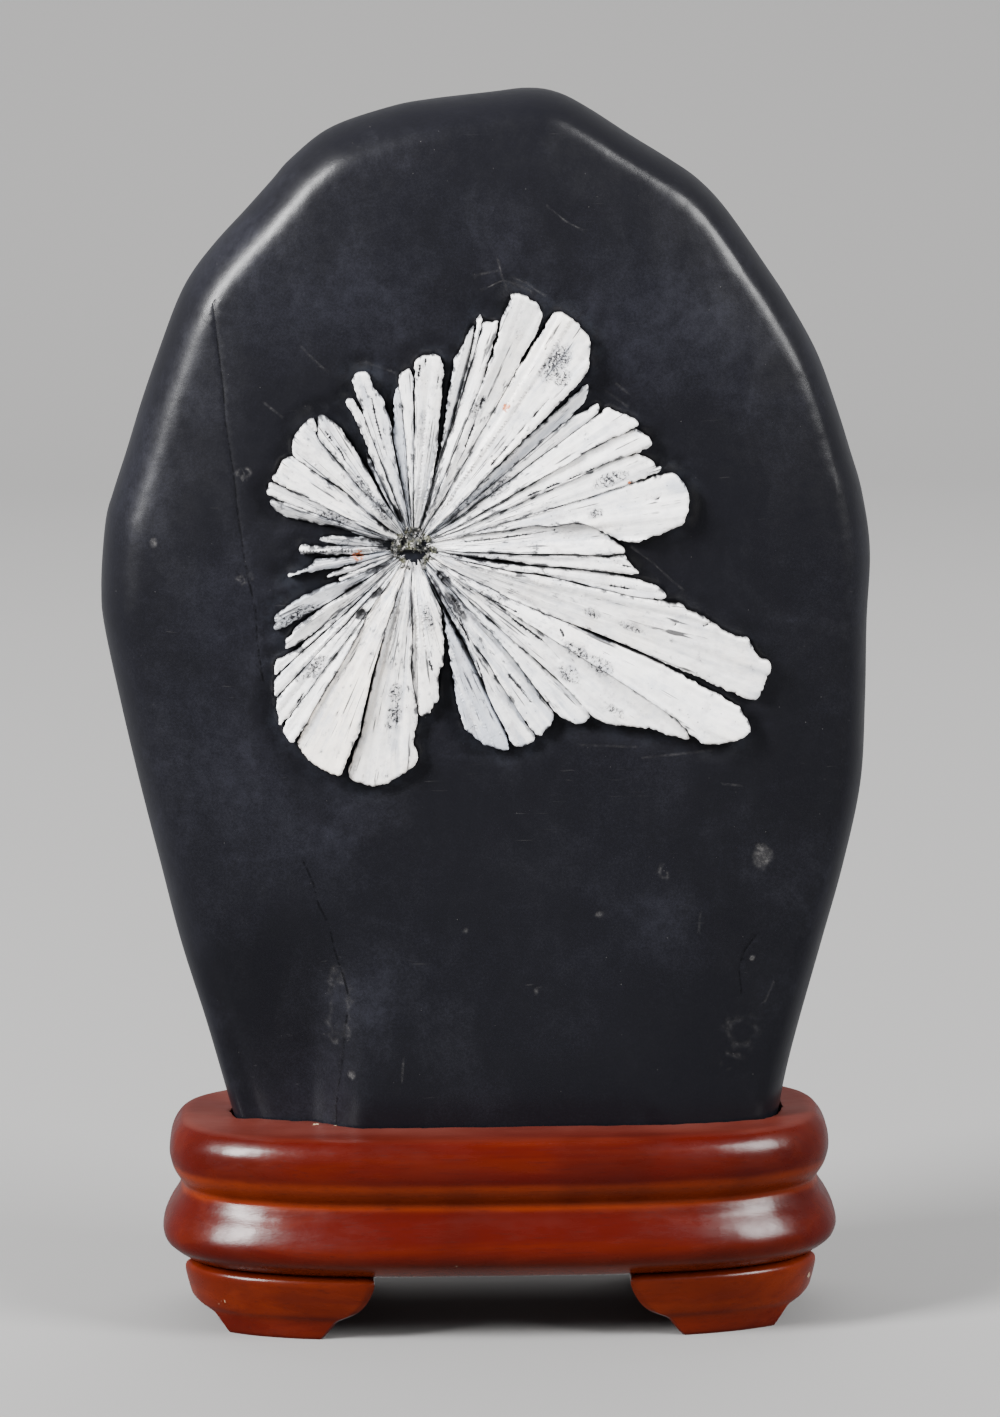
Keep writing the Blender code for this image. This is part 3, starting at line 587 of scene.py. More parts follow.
def bladePoints(index, loop):
    # points to triangulate: lengthwise rows, two rings just inside the edge, and the cracks
    axis = math.atan2(*np.mean(np.array(blades[index]["tips"]), axis=0)[::-1])
    along = np.array([math.cos(axis), math.sin(axis)])
    side = np.array([-along[1], along[0]])
    u, v = loop @ along, loop @ side
    grid = np.stack(np.meshgrid(np.arange(u.min(), u.max(), sprayShape["alongSpacing"]),
                                np.arange(v.min(), v.max(), sprayShape["acrossSpacing"])), axis=-1)
    grid[1::2, :, 0] += sprayShape["alongSpacing"] / 2
    grid = grid.reshape(-1, 2)
    grid = grid + 0.13 * np.stack([waves(grid[:, 0] * 3, grid[:, 1] * 3, seed=1),
                                   waves(grid[:, 0] * 3, grid[:, 1] * 3, seed=2)], axis=1)
    inner = [grid[:, :1] * along + grid[:, 1:] * side]
    inward = rightNormals(loop, closed=True)
    for step in (0.12, 0.34):
        ring = loop + inward * step
        inner.append(ring[nearest(ring, loop, closed=True) > step * 0.8])
    for line in cracks:
        line = np.array(line)
        inner.append(evenly(line, max(2, int(lineLength(line) / 0.5))))
    inner = np.vstack(inner)
    inner = inner[within(inner, loop)]
    inner = inner[nearest(inner, loop, closed=True) > 0.09]
    _, first = np.unique(np.round(inner / 0.15).astype(int), axis=0, return_index=True)
    return inner[np.sort(first)]


def patches(flat, table, crispness):
    # soft ovals that lie along the blades
    total = np.zeros(len(flat))
    for x, z, long, wide, strength in table:
        turn = math.atan2(z, x)
        dx, dz = flat[:, 0] - x, flat[:, 1] - z
        u = (dx * math.cos(turn) + dz * math.sin(turn)) / long
        v = (dz * math.cos(turn) - dx * math.sin(turn)) / wide
        total = np.maximum(total, strength * np.exp(-(u * u + v * v) ** crispness))
    return total


def lathLevel(number, index):
    return waves(number * 7.31, index * 1.7, seed=8)


def bladeHeight(index, flat, away, tipAway):
    # height over the slab's face at each point, and the readings for the finish
    row = blades[index]
    reach = np.hypot(*flat.T)
    angle = np.arctan2(flat[:, 1], flat[:, 0])
    leftAngle = math.atan2(*blades[index - 1]["notch"][::-1])
    rightAngle = math.atan2(*row["notch"][::-1])
    span = max((leftAngle - rightAngle) % (2 * math.pi), 0.03)
    across = (angle - rightAngle + math.pi) % (2 * math.pi) - math.pi
    across = np.clip(across / span * 2 - 1, -1.3, 1.3)
    out = ease(reach, 1.5, sprayShape["dipReach"])
    streak = angle * 30
    # narrower blades grown together: each one lies a little higher or lower
    walk = angle * 24 + 0.5 * waves(reach / 16, angle * 5, index, seed=6)
    cell = np.floor(walk)
    part = walk - cell
    here, after = lathLevel(cell, index), lathLevel(cell + 1, index)
    terrace = here + (after - here) * ease(part, 0.80, 1.0)
    height = (sprayShape["relief"] * row["rise"] + 0.3) * out
    height -= sprayShape["heartSink"] * (1 - out)
    height += sprayShape["rollStrength"] * row["roll"] * -across * out
    height += 0.12 * (1 - across ** 2) * out
    fibre = ripple(streak / 1.1, reach / 22, index, seed=7)
    height += (sprayShape["lathStep"] * terrace + sprayShape["fibreDepth"] * fibre) * out
    height += 0.30 * (1 - out) * waves(angle * 14, reach / 6, index, seed=16)
    height += 0.12 * ripple(flat[:, 0] / 6.0, flat[:, 1] / 6.0, seed=9)
    grain = patches(flat, grainPatches, 1.5)
    pit = patches(flat, pits, 1.0)
    pit = np.clip(pit * (1.1 + 0.6 * ripple(flat[:, 0] / 1.1, flat[:, 1] / 1.1, seed=14)), 0, 1)
    height -= sprayShape["pitDepth"] * pit
    rough = ripple(flat[:, 0] / 0.9, flat[:, 1] / 0.9, seed=13, layers=2)
    height += 0.10 * rough * (0.2 + grain + (1 - out))
    crack = crackReadings(flat)
    height -= sprayShape["crackDepth"] * crack
    atTip = 1 - ease(tipAway - away, 0.0, 3.0)
    radius = sprayShape["sideRadius"] + (sprayShape["tipRadius"] - sprayShape["sideRadius"]) * atTip
    inset = np.minimum(away, radius) / radius
    height -= radius * (1 - np.sqrt(1 - (1 - inset) ** 2)) * (0.4 + 0.6 * out)
    rust = np.zeros(len(flat))
    for x, z, size in rustSpots:
        spot = np.hypot(flat[:, 0] - x, flat[:, 1] - z) / size
        rust = np.maximum(rust, np.exp(-spot ** 2))
    values = {
        "rimDistance": np.minimum(away, 3.0), "reach": reach, "streak": streak, "terrace": terrace,
        "tone": np.full(len(flat), row["tone"]), "blade": np.full(len(flat), float(index)),
        "grain": grain, "pit": pit, "crack": crack, "rust": rust,
    }
    return height, values


def buildBlade(index):
    middle = np.array(sprayShape["middle"])
    loop, atTip = bladeLoop(index)
    count = len(loop)
    flat, faces = sheet(np.vstack([loop, bladePoints(index, loop)]),
                        [(i, (i + 1) % count) for i in range(count)], loop)
    away = nearest(flat, loop, closed=True)
    tipAway = nearest(flat, loop[atTip])
    height, values = bladeHeight(index, flat, away, tipAway)
    world = flat + middle
    face = -faceDepth(world)
    top = np.stack([world[:, 0], face - height, world[:, 1]], axis=1)
    # walls run down from the sheet's open edges into the stone
    uses = {}
    for triangle in faces:
        for a, b in zip(triangle, triangle[1:] + triangle[:1]):
            uses[(a, b)] = uses.get((a, b), 0) + 1
    border = [edge for edge in uses if (edge[1], edge[0]) not in uses]
    edge = sorted({i for pair in border for i in pair})
    below = {number: len(top) + k for k, number in enumerate(edge)}
    wall = top[edge].copy()
    wall[:, 1] = face[edge] + sprayShape["wallDepth"]
    sides = [(b, a, below[a], below[b]) for a, b in border]
    following = {a: b for a, b in border}
    base, here = [], border[0][0]
    while here in following:
        base.append(below[here])
        here = following.pop(here)
    sides.append(tuple(base[::-1]))
    return top, wall, faces, sides, values, edge


def buildSpray(material):
    verts, faces, values = [], [], {}
    total = 0
    for index in range(len(blades)):
        top, wall, fronts, sides, readings, edge = buildBlade(index)
        verts += [top, wall]
        faces += [tuple(i + total for i in f) for f in fronts + sides]
        for key, numbers in readings.items():
            wallNumbers = numbers[edge] if key != "rimDistance" else np.full(len(edge), -1.0)
            values.setdefault(key, []).extend([numbers, wallNumbers])
        total += len(top) + len(wall)
    values = {key: np.concatenate(parts) for key, parts in values.items()}
    piece = addPiece("crystalBlades", np.vstack(verts), faces, material, values, 42.0)
    mesh = bmesh.new()
    mesh.from_mesh(piece.data)
    bmesh.ops.recalc_face_normals(mesh, faces=mesh.faces[:])
    mesh.to_mesh(piece.data)
    mesh.free()
    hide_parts("crystal_spray")
    print("crystals:", len(blades), "blades,", len(faces), "faces")


heartShape = {
    "rings": 34,
    "turns": 96,
    "radius": 5.4,
    "sunk": 1.5,            # how far its ground lies under the slab's face
    "pitDepth": 1.6,
    "lumpHeight": 0.85,
    "chipHeight": 0.4,
    "pits": [(-1.4, -1.5, 1.5), (0.6, -1.9, 1.2), (1.4, 0.3, 0.6), (-0.9, -2.9, 0.9)],
}


def buildHeart(material):
    # the dark, grainy pit where the blades meet, closed behind
    middle = np.array(sprayShape["middle"])
    rings, turns = heartShape["rings"], heartShape["turns"]
    radii = np.linspace(0, heartShape["radius"], rings)
    flat = np.array([(0, 0)] + [(r * math.cos(a), r * math.sin(a)) for r in radii[1:]
                                for a in np.linspace(0, 2 * math.pi, turns, endpoint=False)])
    world = flat + middle
    reach = np.hypot(*flat.T)
    lumps = ripple(flat[:, 0] / 1.2, flat[:, 1] / 1.2, seed=3)
    chips = np.abs(hills(flat, 0.55, 4))
    pit = np.zeros(len(flat))
    for x, z, size in heartShape["pits"]:
        pit = np.maximum(pit, np.exp(-((flat[:, 0] - x) ** 2 + (flat[:, 1] - z) ** 2) / size ** 2))
    depth = heartShape["sunk"] + heartShape["pitDepth"] * pit - heartShape["lumpHeight"] * lumps \
        - heartShape["chipHeight"] * chips + 0.10 * reach
    verts = np.stack([world[:, 0], -faceDepth(world) + depth, world[:, 1]], axis=1)
    behind = verts[-turns:] + (0, 2.5, 0)
    faces = [(0, 1 + (k + 1) % turns, 1 + k) for k in range(turns)]
    for ring in range(rings - 1):
        faces += bridge(1 + ring * turns, 1 + (ring + 1) * turns, turns)
    faces.append(tuple(len(verts) + k for k in range(turns)))
    values = {"lump": np.append(lumps, lumps[-turns:]), "pit": np.append(pit, pit[-turns:])}
    addPiece("sprayHeart", np.vstack([verts, behind]), faces, material, values, 40.0)


# The black slab

slabShift = (1.2, -0.6)  # the marks below were measured from a middle this far off
hairlines = [
    [(-66.6, 246.8), (-65.4, 235.0), (-64.4, 226.0), (-64.0, 218.5), (-62.2, 206.0), (-61.2, 195.0),
     (-59.6, 184.0), (-57.6, 173.7), (-57.1, 165.0), (-56.0, 157.3)],
    [(-47.0, 113.7), (-44.8, 108.5), (-43.6, 103.4), (-41.2, 98.4), (-39.9, 92.0), (-38.1, 86.6),
     (-36.4, 79.5)],
    [(-37.2, 76.5), (-38.4, 66.0), (-40.0, 54.8), (-40.2, 47.5)],
    [(59.6, 94.0), (57.0, 90.6), (55.8, 86.8), (56.4, 80.0)],
]

# fine pale scratches
scratches = [
    [(0.1, 255.8), (0.8, 252.4), (2.0, 249.4)],
    [(-3.4, 249.2), (1.2, 251.2), (4.6, 250.0), (7.6, 248.6)],
    [(3.2, 252.0), (6.8, 250.4), (10.7, 247.6)], [(-4.6, 252.6), (0.6, 253.6)],
    [(-46.0, 236.0), (-43.4, 233.2), (-40.6, 230.6)], [(-55.0, 223.0), (-50.8, 219.6)],
    [(-30.6, 232.0), (-27.0, 231.0), (-24.4, 229.8)], [(25.0, 225.0), (27.4, 223.2), (29.6, 221.6)],
    [(27.6, 226.6), (30.4, 224.2)], [(78.2, 210.6), (79.2, 204.0), (79.6, 198.8)],
    [(30.8, 188.0), (36.0, 184.2), (39.6, 180.6), (42.8, 177.8)],
    [(11.6, 268.4), (16.0, 264.6), (19.8, 262.6)],
    [(-60.6, 207.6), (-59.6, 206.4), (-60.2, 205.4)],
    [(-60.6, 182.4), (-59.8, 181.0), (-60.6, 180.2)],
    [(52.0, 131.4), (56.2, 130.9)], [(18.6, 141.2), (31.4, 140.6)], [(33.2, 138.0), (49.6, 139.4)],
    [(46.6, 100.4), (46.2, 96.0)], [(-24.0, 66.0), (-24.4, 61.2)], [(64.2, 82.8), (62.0, 78.0)],
]

# scars: x, z, half width, half height, depth of the dent, paleness, 1 for a ring
scars = [
    (-62.4, 255.0, 1.5, 1.0, 0.30, 0.5, 0), (-60.0, 206.7, 1.6, 1.1, 0.12, 0.8, 1),
    (-60.0, 181.5, 1.7, 0.7, 0.10, 0.6, 1), (61.4, 113.7, 2.6, 3.1, 0.16, 0.7, 0),
    (38.0, 110.1, 1.1, 1.2, 0.10, 0.9, 1), (59.0, 88.9, 0.8, 0.8, -0.12, 1.0, 0),
    (56.8, 71.3, 3.5, 3.2, 0.12, 0.34, 1), (-38.9, 78.6, 2.2, 7.4, 0.10, 0.34, 1),
    (22.5, 100.5, 1.1, 0.7, 0.06, 0.4, 0), (34.9, 279.0, 0.3, 0.3, 0.02, 0.9, 0),
    (-9.0, 97.0, 0.7, 0.7, 0.08, 0.4, 0),
    (7.6, 82.0, 0.6, 0.9, 0.08, 0.4, 0), (-77.0, 101.0, 1.0, 2.6, 0.18, 0.5, 0),
    (53.5, 64.0, 2.2, 1.8, 0.08, 0.26, 1), (-81.4, 190.0, 0.8, 1.1, 0.10, 0.6, 0),
    (-36.2, 62.0, 0.9, 1.2, 0.10, 0.8, 0), (70.0, 62.0, 1.2, 2.4, 0.12, 0.4, 0),
]


def slabReadings(points, loop):
    # extra height, and how hollowed, scarred and cracked the front is at each point
    gap = nearest(points, loop, closed=True)
    inside = within(points, loop)
    hollow = np.where(inside, 1.0, (1 - ease(gap, 0.0, slabShape["hollowWidth"])))
    wide = 0.7 + 0.5 * hills(points, 14, 40)
    hollow = np.where(inside, 1.0, np.clip(hollow * wide, 0, 1))
    height = -slabShape["hollowDepth"] * hollow
    height -= np.where(inside, 0.9 * ease(gap, 0.2, 1.6), 0)
    scar = np.zeros(len(points))
    for number, (x, z, wideX, wideZ, depth, pale, ring) in enumerate(scars):
        near = np.hypot((points[:, 0] - x - slabShift[0]) / wideX,
                        (points[:, 1] - z - slabShift[1]) / wideZ)
        near = near * (1 + 0.34 * hills(points, 1.5, 70 + number))
        shape = np.exp(-((near - 1) / 0.22) ** 2) if ring else 1 - ease(near, 0.5, 1.1)
        if ring:
            shape = shape * np.clip(0.5 + 0.9 * hills(points, 1.4, 90 + number), 0, 1)
        height -= depth * shape
        scar = np.maximum(scar, pale * shape)
    crack = np.zeros(len(points))
    for line in hairlines:
        crack = np.maximum(crack, 1 - ease(nearest(points, np.array(line) + slabShift), 0.1, 0.34))
    height -= slabShape["hairlineDepth"] * crack
    for number, line in enumerate(scratches):
        line = np.array(line) + slabShift
        near = 1 - ease(nearest(points, line), 0.0, 0.22)
        broken = np.clip(0.6 + 0.6 * hills(points, 1.4, 120 + number), 0, 1)
        scar = np.maximum(scar, 0.75 * near * broken)
        height -= slabShape["scratchDepth"] * near
    return height, hollow, scar, crack


def hexGrid(spacing, low, high):
    grid = np.stack(np.meshgrid(np.arange(low[0], high[0], spacing),
                                np.arange(low[1], high[1], spacing * 0.866)), axis=-1)
    grid[1::2, :, 0] += spacing / 2
    return grid.reshape(-1, 2)


def faceUnevenness(points, side):
    x, z = points[:, 0], points[:, 1]
    fade = ease(slabInset(points), 0.0, 9.0)
    if side < 0:
        broad = 0.28 * waves(x / 46, z / 46, seed=11) + 0.11 * waves(x / 17, z / 17, seed=12)
        return fade * (broad + 0.035 * waves(x / 6, z / 6, seed=13))
    broad = 0.55 * waves(x / 40, z / 40, seed=14) + 0.22 * waves(x / 15, z / 15, seed=15)
    return fade * (broad + 0.05 * waves(x / 5, z / 5, seed=16))


def buildSlab(material):
    count = len(slabRim)
    inward = rightNormals(slabRim, closed=True)
    radius = edgeRadius(slabRim)[:, None]
    verts, faces = [np.column_stack([slabRim[:, 0], np.zeros(count), slabRim[:, 1]])], []
    values = {key: [np.zeros(count)] for key in ("hollow", "scar", "crack")}
    total = count
    loop = sprayOutline()
    turns = np.radians(np.linspace(0, 76, 16))[1:]
    for side in (-1, 1):
        previous = 0
        for turn in turns:
            inset = radius * (1 - math.cos(turn))
            ring = slabRim + inward * inset
            depth = faceDepth(ring, side) + faceUnevenness(ring, side)
            verts.append(np.column_stack([ring[:, 0], side * depth, ring[:, 1]]))
            for key in values:
                values[key].append(np.zeros(count))
            quads = bridge(previous, total, count)
            faces += quads if side > 0 else [quad[::-1] for quad in quads]
            previous, total = total, total + count
        border = ring
        low, high = border.min(axis=0), border.max(axis=0)
        spacing = slabShape["frontSpacing"] if side < 0 else slabShape["backSpacing"]
        inner = [hexGrid(spacing, low, high)]
        lines = [(i, (i + 1) % count) for i in range(count)]
        if side < 0:
            fine = hexGrid(slabShape["hollowSpacing"], loop.min(axis=0) - 8, loop.max(axis=0) + 8)
            near = nearest(fine, loop, closed=True) < slabShape["hollowWidth"] + 1
            inner[0] = inner[0][nearest(inner[0], loop, closed=True) > slabShape["hollowWidth"] + 1]
            inner.append(fine[near])
            for x, z, wideX, wideZ, *_ in scars:
                corner = np.array((wideX, wideZ)) * 1.4
                spot = np.array((x, z)) + slabShift
                inner.append(hexGrid(0.42, spot - corner, spot + corner))
        inner = np.vstack(inner)
        inner = inner[within(inner, border)]
        chosen = [inner[nearest(inner, border, closed=True) > 0.8]]
        if side < 0:
            marks = [np.array(line) + slabShift for line in hairlines + scratches]
            away = np.min([nearest(chosen[0], line) for line in marks], axis=0)
            chosen[0] = chosen[0][away > 0.5]
            start = count + len(chosen[0])
            for line in marks:
                smooth = spaced(line, 0.8, 4)
                for offset in (-0.4, -0.13, 0.13, 0.4):
                    chosen.append(smooth + rightNormals(smooth) * offset)
                    lines += [(start + i, start + i + 1) for i in range(len(smooth) - 1)]
                    start += len(smooth)
        flat, triangles = sheet(np.vstack([border] + chosen), lines, border)
        depth = faceDepth(flat, side) + faceUnevenness(flat, side)
        readings = [np.zeros(len(flat))] * 4
        if side < 0:
            readings = slabReadings(flat, loop)
        depth = depth + readings[0]
        verts.append(np.column_stack([flat[:, 0], side * depth, flat[:, 1]]))
        for key, numbers in zip(("hollow", "scar", "crack"), readings[1:]):
            values[key].append(numbers)
        for a, b, c in triangles:
            faces.append((a + total, b + total, c + total) if side < 0
                         else (a + total, c + total, b + total))
        total += len(flat)
    values = {key: np.concatenate(parts) for key, parts in values.items()}
    piece = addPiece("blackSlab", np.vstack(verts), faces, material, values, 60.0)
    mesh = bmesh.new()
    mesh.from_mesh(piece.data)
    bmesh.ops.remove_doubles(mesh, verts=mesh.verts[:], dist=0.00002)
    everything = mesh.verts[:] + mesh.edges[:] + mesh.faces[:]
    sliced = bmesh.ops.bisect_plane(mesh, geom=everything, plane_no=(0, 0, 1), clear_inner=True,
                                    plane_co=(0, 0, slabShape["baseHeight"] * mm))
    rim = [g for g in sliced["geom_cut"] if isinstance(g, bmesh.types.BMEdge)]
    bmesh.ops.contextual_create(mesh, geom=rim)
    mesh.to_mesh(piece.data)
    mesh.free()
    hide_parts("stone")
    print("slab:", len(piece.data.polygons), "faces")


# The stand

standShape = {
    "halfWidth": 76.0,
    "halfDepth": 37.0,
    "planPower": 3.0,
    # height and overhang: lower moulding, then upper
    "lower": [(15.8, -1.2), (16.1, -0.4), (16.9, 0.9), (18.2, 2.7), (19.7, 4.2), (21.8, 4.8),
              (24.0, 4.4), (26.8, 3.1), (29.6, 1.3), (31.4, 0.5), (32.3, 0.1), (33.0, -0.1)],
    "upper": [(33.0, -0.1), (33.6, 0.1), (34.4, 0.7), (35.6, 1.5), (37.4, 2.4), (40.4, 3.0),
              (43.8, 2.7), (46.0, 1.9), (47.4, 0.9), (48.0, 0.3)],
    "top": 48.8,
    "turns": 300,
    "recessFloor": 43.0,
}


# places where the lacquer has chipped to the pale ground: x, y, z and radius
chips = [
    (-68.0, -24.0, 6.6, 1.0), (-66.6, -25.0, 7.8, 0.8), (-37.0, -33.5, 4.4, 0.8),
    (-41.0, -33.5, 1.0, 0.7), (74.0, -16.0, 10.2, 0.9), (-43.5, -16.0, 48.8, 0.8),
    (-39.0, -17.0, 48.8, 0.9), (58.0, -14.5, 48.8, 0.8), (-11.0, -41.5, 19.0, 0.7),
    (12.0, -41.8, 24.0, 0.4), (-60.0, 31.0, 9.0, 0.8),
]


def woodReadings(verts):
    chip = np.zeros(len(verts))
    for x, y, z, radius in chips:
        near = np.hypot(np.hypot(verts[:, 0] - x, verts[:, 1] - y), verts[:, 2] - z) / radius
        chip = np.maximum(chip, np.exp(-near ** 2))
    return {"chip": chip, "orange": np.zeros(len(verts)), "ledge": np.zeros(len(verts))}


def planPoints(overhang, turns):
    power = 2.0 / standShape["planPower"]
    c, s = np.cos(turns), np.sin(turns)
    x = np.sign(c) * np.abs(c) ** power * (standShape["halfWidth"] + overhang)
    y = np.sign(s) * np.abs(s) ** power * (standShape["halfDepth"] + overhang)
    return np.stack([x, y], axis=1)


def evenTurns(count):
    fine = np.linspace(0, 2 * math.pi, 6001)
    line = planPoints(0.0, fine)
    length = np.concatenate([[0], np.cumsum(np.hypot(*np.diff(line, axis=0).T))])
    return np.interp(np.linspace(0, length[-1], count, endpoint=False), length, fine)


def stoneSection(height, turns, gap):
    # the slab's cross-section at a height, as x and y
    crossings = []
    for start, stop in zip(slabRim, np.roll(slabRim, -1, axis=0)):
        if (start[1] - height) * (stop[1] - height) < 0:
            t = (height - start[1]) / (stop[1] - start[1])
            crossings.append(start[0] + t * (stop[0] - start[0]))
    left, right = min(crossings) - gap, max(crossings) + gap
    middle, half = (left + right) / 2, (right - left) / 2
    c, s = np.cos(turns), np.sin(turns)
    x = middle + half * np.sign(c) * np.abs(c) ** 0.62
    inner = middle + (x - middle) * (half - gap) / half
    level = np.column_stack([inner, np.full(len(x), height)])
    y = np.where(s < 0, faceDepth(level), faceDepth(level, 1))
    limit = np.abs(s) ** 0.62 * (y + gap)
    ends = ease(np.abs(s), 0.0, 0.25)
    return np.stack([x, np.sign(s) * (limit * (1 - ends) + (y + gap) * ends)], axis=1)


def buildStand(material):
    turns = evenTurns(standShape["turns"])
    count, top = len(turns), standShape["top"]
    lower = roundCurve(standShape["lower"], 30, closed=False)
    upper = roundCurve(standShape["upper"], 28, closed=False)[1:]
    # rounded over to the flat ledge
    turnedOver = [(top - 0.42, -0.3), (top - 0.16, -1.0), (top - 0.04, -1.8), (top, -2.6)]
    profile = np.vstack([lower, upper, turnedOver])
    rows = []
    for height, overhang in profile:
        spots = planPoints(overhang, turns)
        hand = 0.10 * waves(turns * 9, height / 9, seed=80)
        hand = hand + 0.05 * waves(turns * 26, height / 5, seed=81)
        level = height + 0.10 * waves(turns * 5, 0.5, seed=82) * (height > 18)
        spots = spots * (1 + hand[:, None] / np.maximum(np.hypot(*spots.T), 1)[:, None] * 0.8)
        rows.append(np.column_stack([spots, np.minimum(level, top)]))
    outer = rows[-1]
    mouth = stoneSection(top, turns, 0.55)
    carve = 0.30 * waves(turns * 22, 0.2, seed=83) + 0.25 * waves(turns * 7, 0.7, seed=84)
    push = np.stack([np.cos(turns), np.sin(turns)], axis=1)
    mouth = mouth + push * (0.25 + carve)[:, None]
    for share in (0.12, 0.3, 0.5, 0.7, 0.86, 0.95):
        spots = outer[:, :2] * (1 - share) + mouth * share
        dip = -0.12 - 0.10 * hills(spots, 9, 85)
        rows.append(np.column_stack([spots, np.full(count, top) + dip * math.sin(math.pi * share)]))
    chipped = 0.35 * np.clip(waves(turns * 30, 0.9, seed=86) - 0.25, 0, 1)
    rows.append(np.column_stack([mouth + push * 0.12, top - 0.06 - chipped]))
    rows.append(np.column_stack([mouth, top - 0.45 - chipped]))
    wall = stoneSection(standShape["recessFloor"] + 0.1, turns, 0.5)
    rows.append(np.column_stack([mouth * 0.4 + wall * 0.6, np.full(count, 45.0)]))
    rows.append(np.column_stack([wall, np.full(count, standShape["recessFloor"])]))
    verts = np.vstack(rows)
    faces = []
    for row in range(len(rows) - 1):
        faces += bridge(row * count, (row + 1) * count, count)
    faces += [tuple(range(len(verts) - count, len(verts))), tuple(range(count))[::-1]]
    height = verts[:, 2]
    values = woodReadings(verts)
    # painted fill light: the undersides of both mouldings are made lighter orange
    crease = ease(height, 39.5, 37.0) * ease(height, 31.0, 33.2)
    values["orange"] = crease + 0.8 * ease(height, 21.0, 17.0)
    values["shade"] = 0.25 * np.exp(-((height - 33.0) / 0.6) ** 2) + 0.5 * ease(height, 16.6, 15.9)
    # the top ledge gets dust and a painted sheen, weaker at the front
    front = ease(verts[:, 1], -22, -34) * ease(np.abs(verts[:, 0]), 66, 50)
    values["ledge"] = ease(height, 48.2, 48.5) * (1 - 0.65 * front)
    piece = addPiece("standMouldings", verts, faces, material, values, 38.0)
    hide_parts("stand_body")
    print("stand:", len(faces), "faces")


footShape = {
    # height, half of its length across the stand, and how far its face is set in
    "profile": [(0.0, 11.0, 2.6), (0.35, 11.3, 2.4), (2.4, 13.0, 2.4), (4.2, 14.5, 2.2),
                (5.0, 15.8, 1.9), (5.6, 17.2, 1.6), (6.8, 19.4, 1.2), (8.6, 21.2, 0.7),
                (10.8, 22.5, 0.15), (12.4, 23.2, -0.2), (13.6, 23.5, -0.35), (14.5, 23.5, -0.2),
                (15.2, 23.1, 0.5), (15.7, 22.2, 1.6)],
    "middleX": 53.8,
    "backDepth": 11.5,
    "steps": 60,
}


def planDepth(x, overhang):
    power = standShape["planPower"]
    share = np.minimum(1.0, np.abs(x) / (standShape["halfWidth"] + overhang))
    return (standShape["halfDepth"] + overhang) * (1 - share ** power) ** (1 / power)


def widestX(depth, overhang):
    power = standShape["planPower"]
    share = depth / (standShape["halfDepth"] + overhang)
    return (standShape["halfWidth"] + overhang) * (1 - share ** power) ** (1 / power)


def buildFoot(name, node, mirrorX, mirrorY, material, seed):
    # both ends are cut to an ogee, and the face follows the outline
    profile = roundCurve(footShape["profile"], 40, closed=False)
    profile[0], profile[-1] = footShape["profile"][0], footShape["profile"][-1]
    back, steps = footShape["backDepth"], footShape["steps"]
    share = np.sin(np.linspace(0, 0.5, steps) * math.pi)
    rows = []
    for height, halfLength, inset in profile:
        start = footShape["middleX"] - halfLength
        end = min(footShape["middleX"] + halfLength, widestX(back + 1.0, -inset))
        x = start + (end - start) * share
        softened = 0.7 * (1 - np.sqrt(1 - ease(share, 0.03, 0.0) ** 2 * 0.98))
        wobble = 0.10 * waves(x / 6, height / 4, seed=seed)
        y = -np.maximum(planDepth(x, -inset) - softened - wobble, back + 0.6)
        outer = np.stack([x, y], axis=1)
        inner = np.stack([x, np.full(steps, -back)], axis=1)
        spots = np.vstack([outer, inner[::-1]])
        rows.append(np.column_stack([spots[:, 0] * mirrorX, spots[:, 1] * mirrorY,
                                     np.full(2 * steps, max(height, 0.0))]))
    verts, count = np.vstack(rows), 2 * steps
    faces = []
    for row in range(len(rows) - 1):
        faces += bridge(row * count, (row + 1) * count, count)
    faces += [tuple(range(count))[::-1], tuple(range(len(verts) - count, len(verts)))]
    if mirrorX * mirrorY < 0:
        faces = [f[::-1] for f in faces]
    values = woodReadings(verts)
    values["shade"] = 0.45 * ease(verts[:, 2], 3.0, 0.0)
    # painted fill light: the foot is made lighter orange higher up
    values["orange"] = 0.15 + 0.32 * ease(verts[:, 2], 3.0, 7.0)
    piece = addPiece(name, verts, faces, material, values, 40.0)
    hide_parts(node)


# Materials

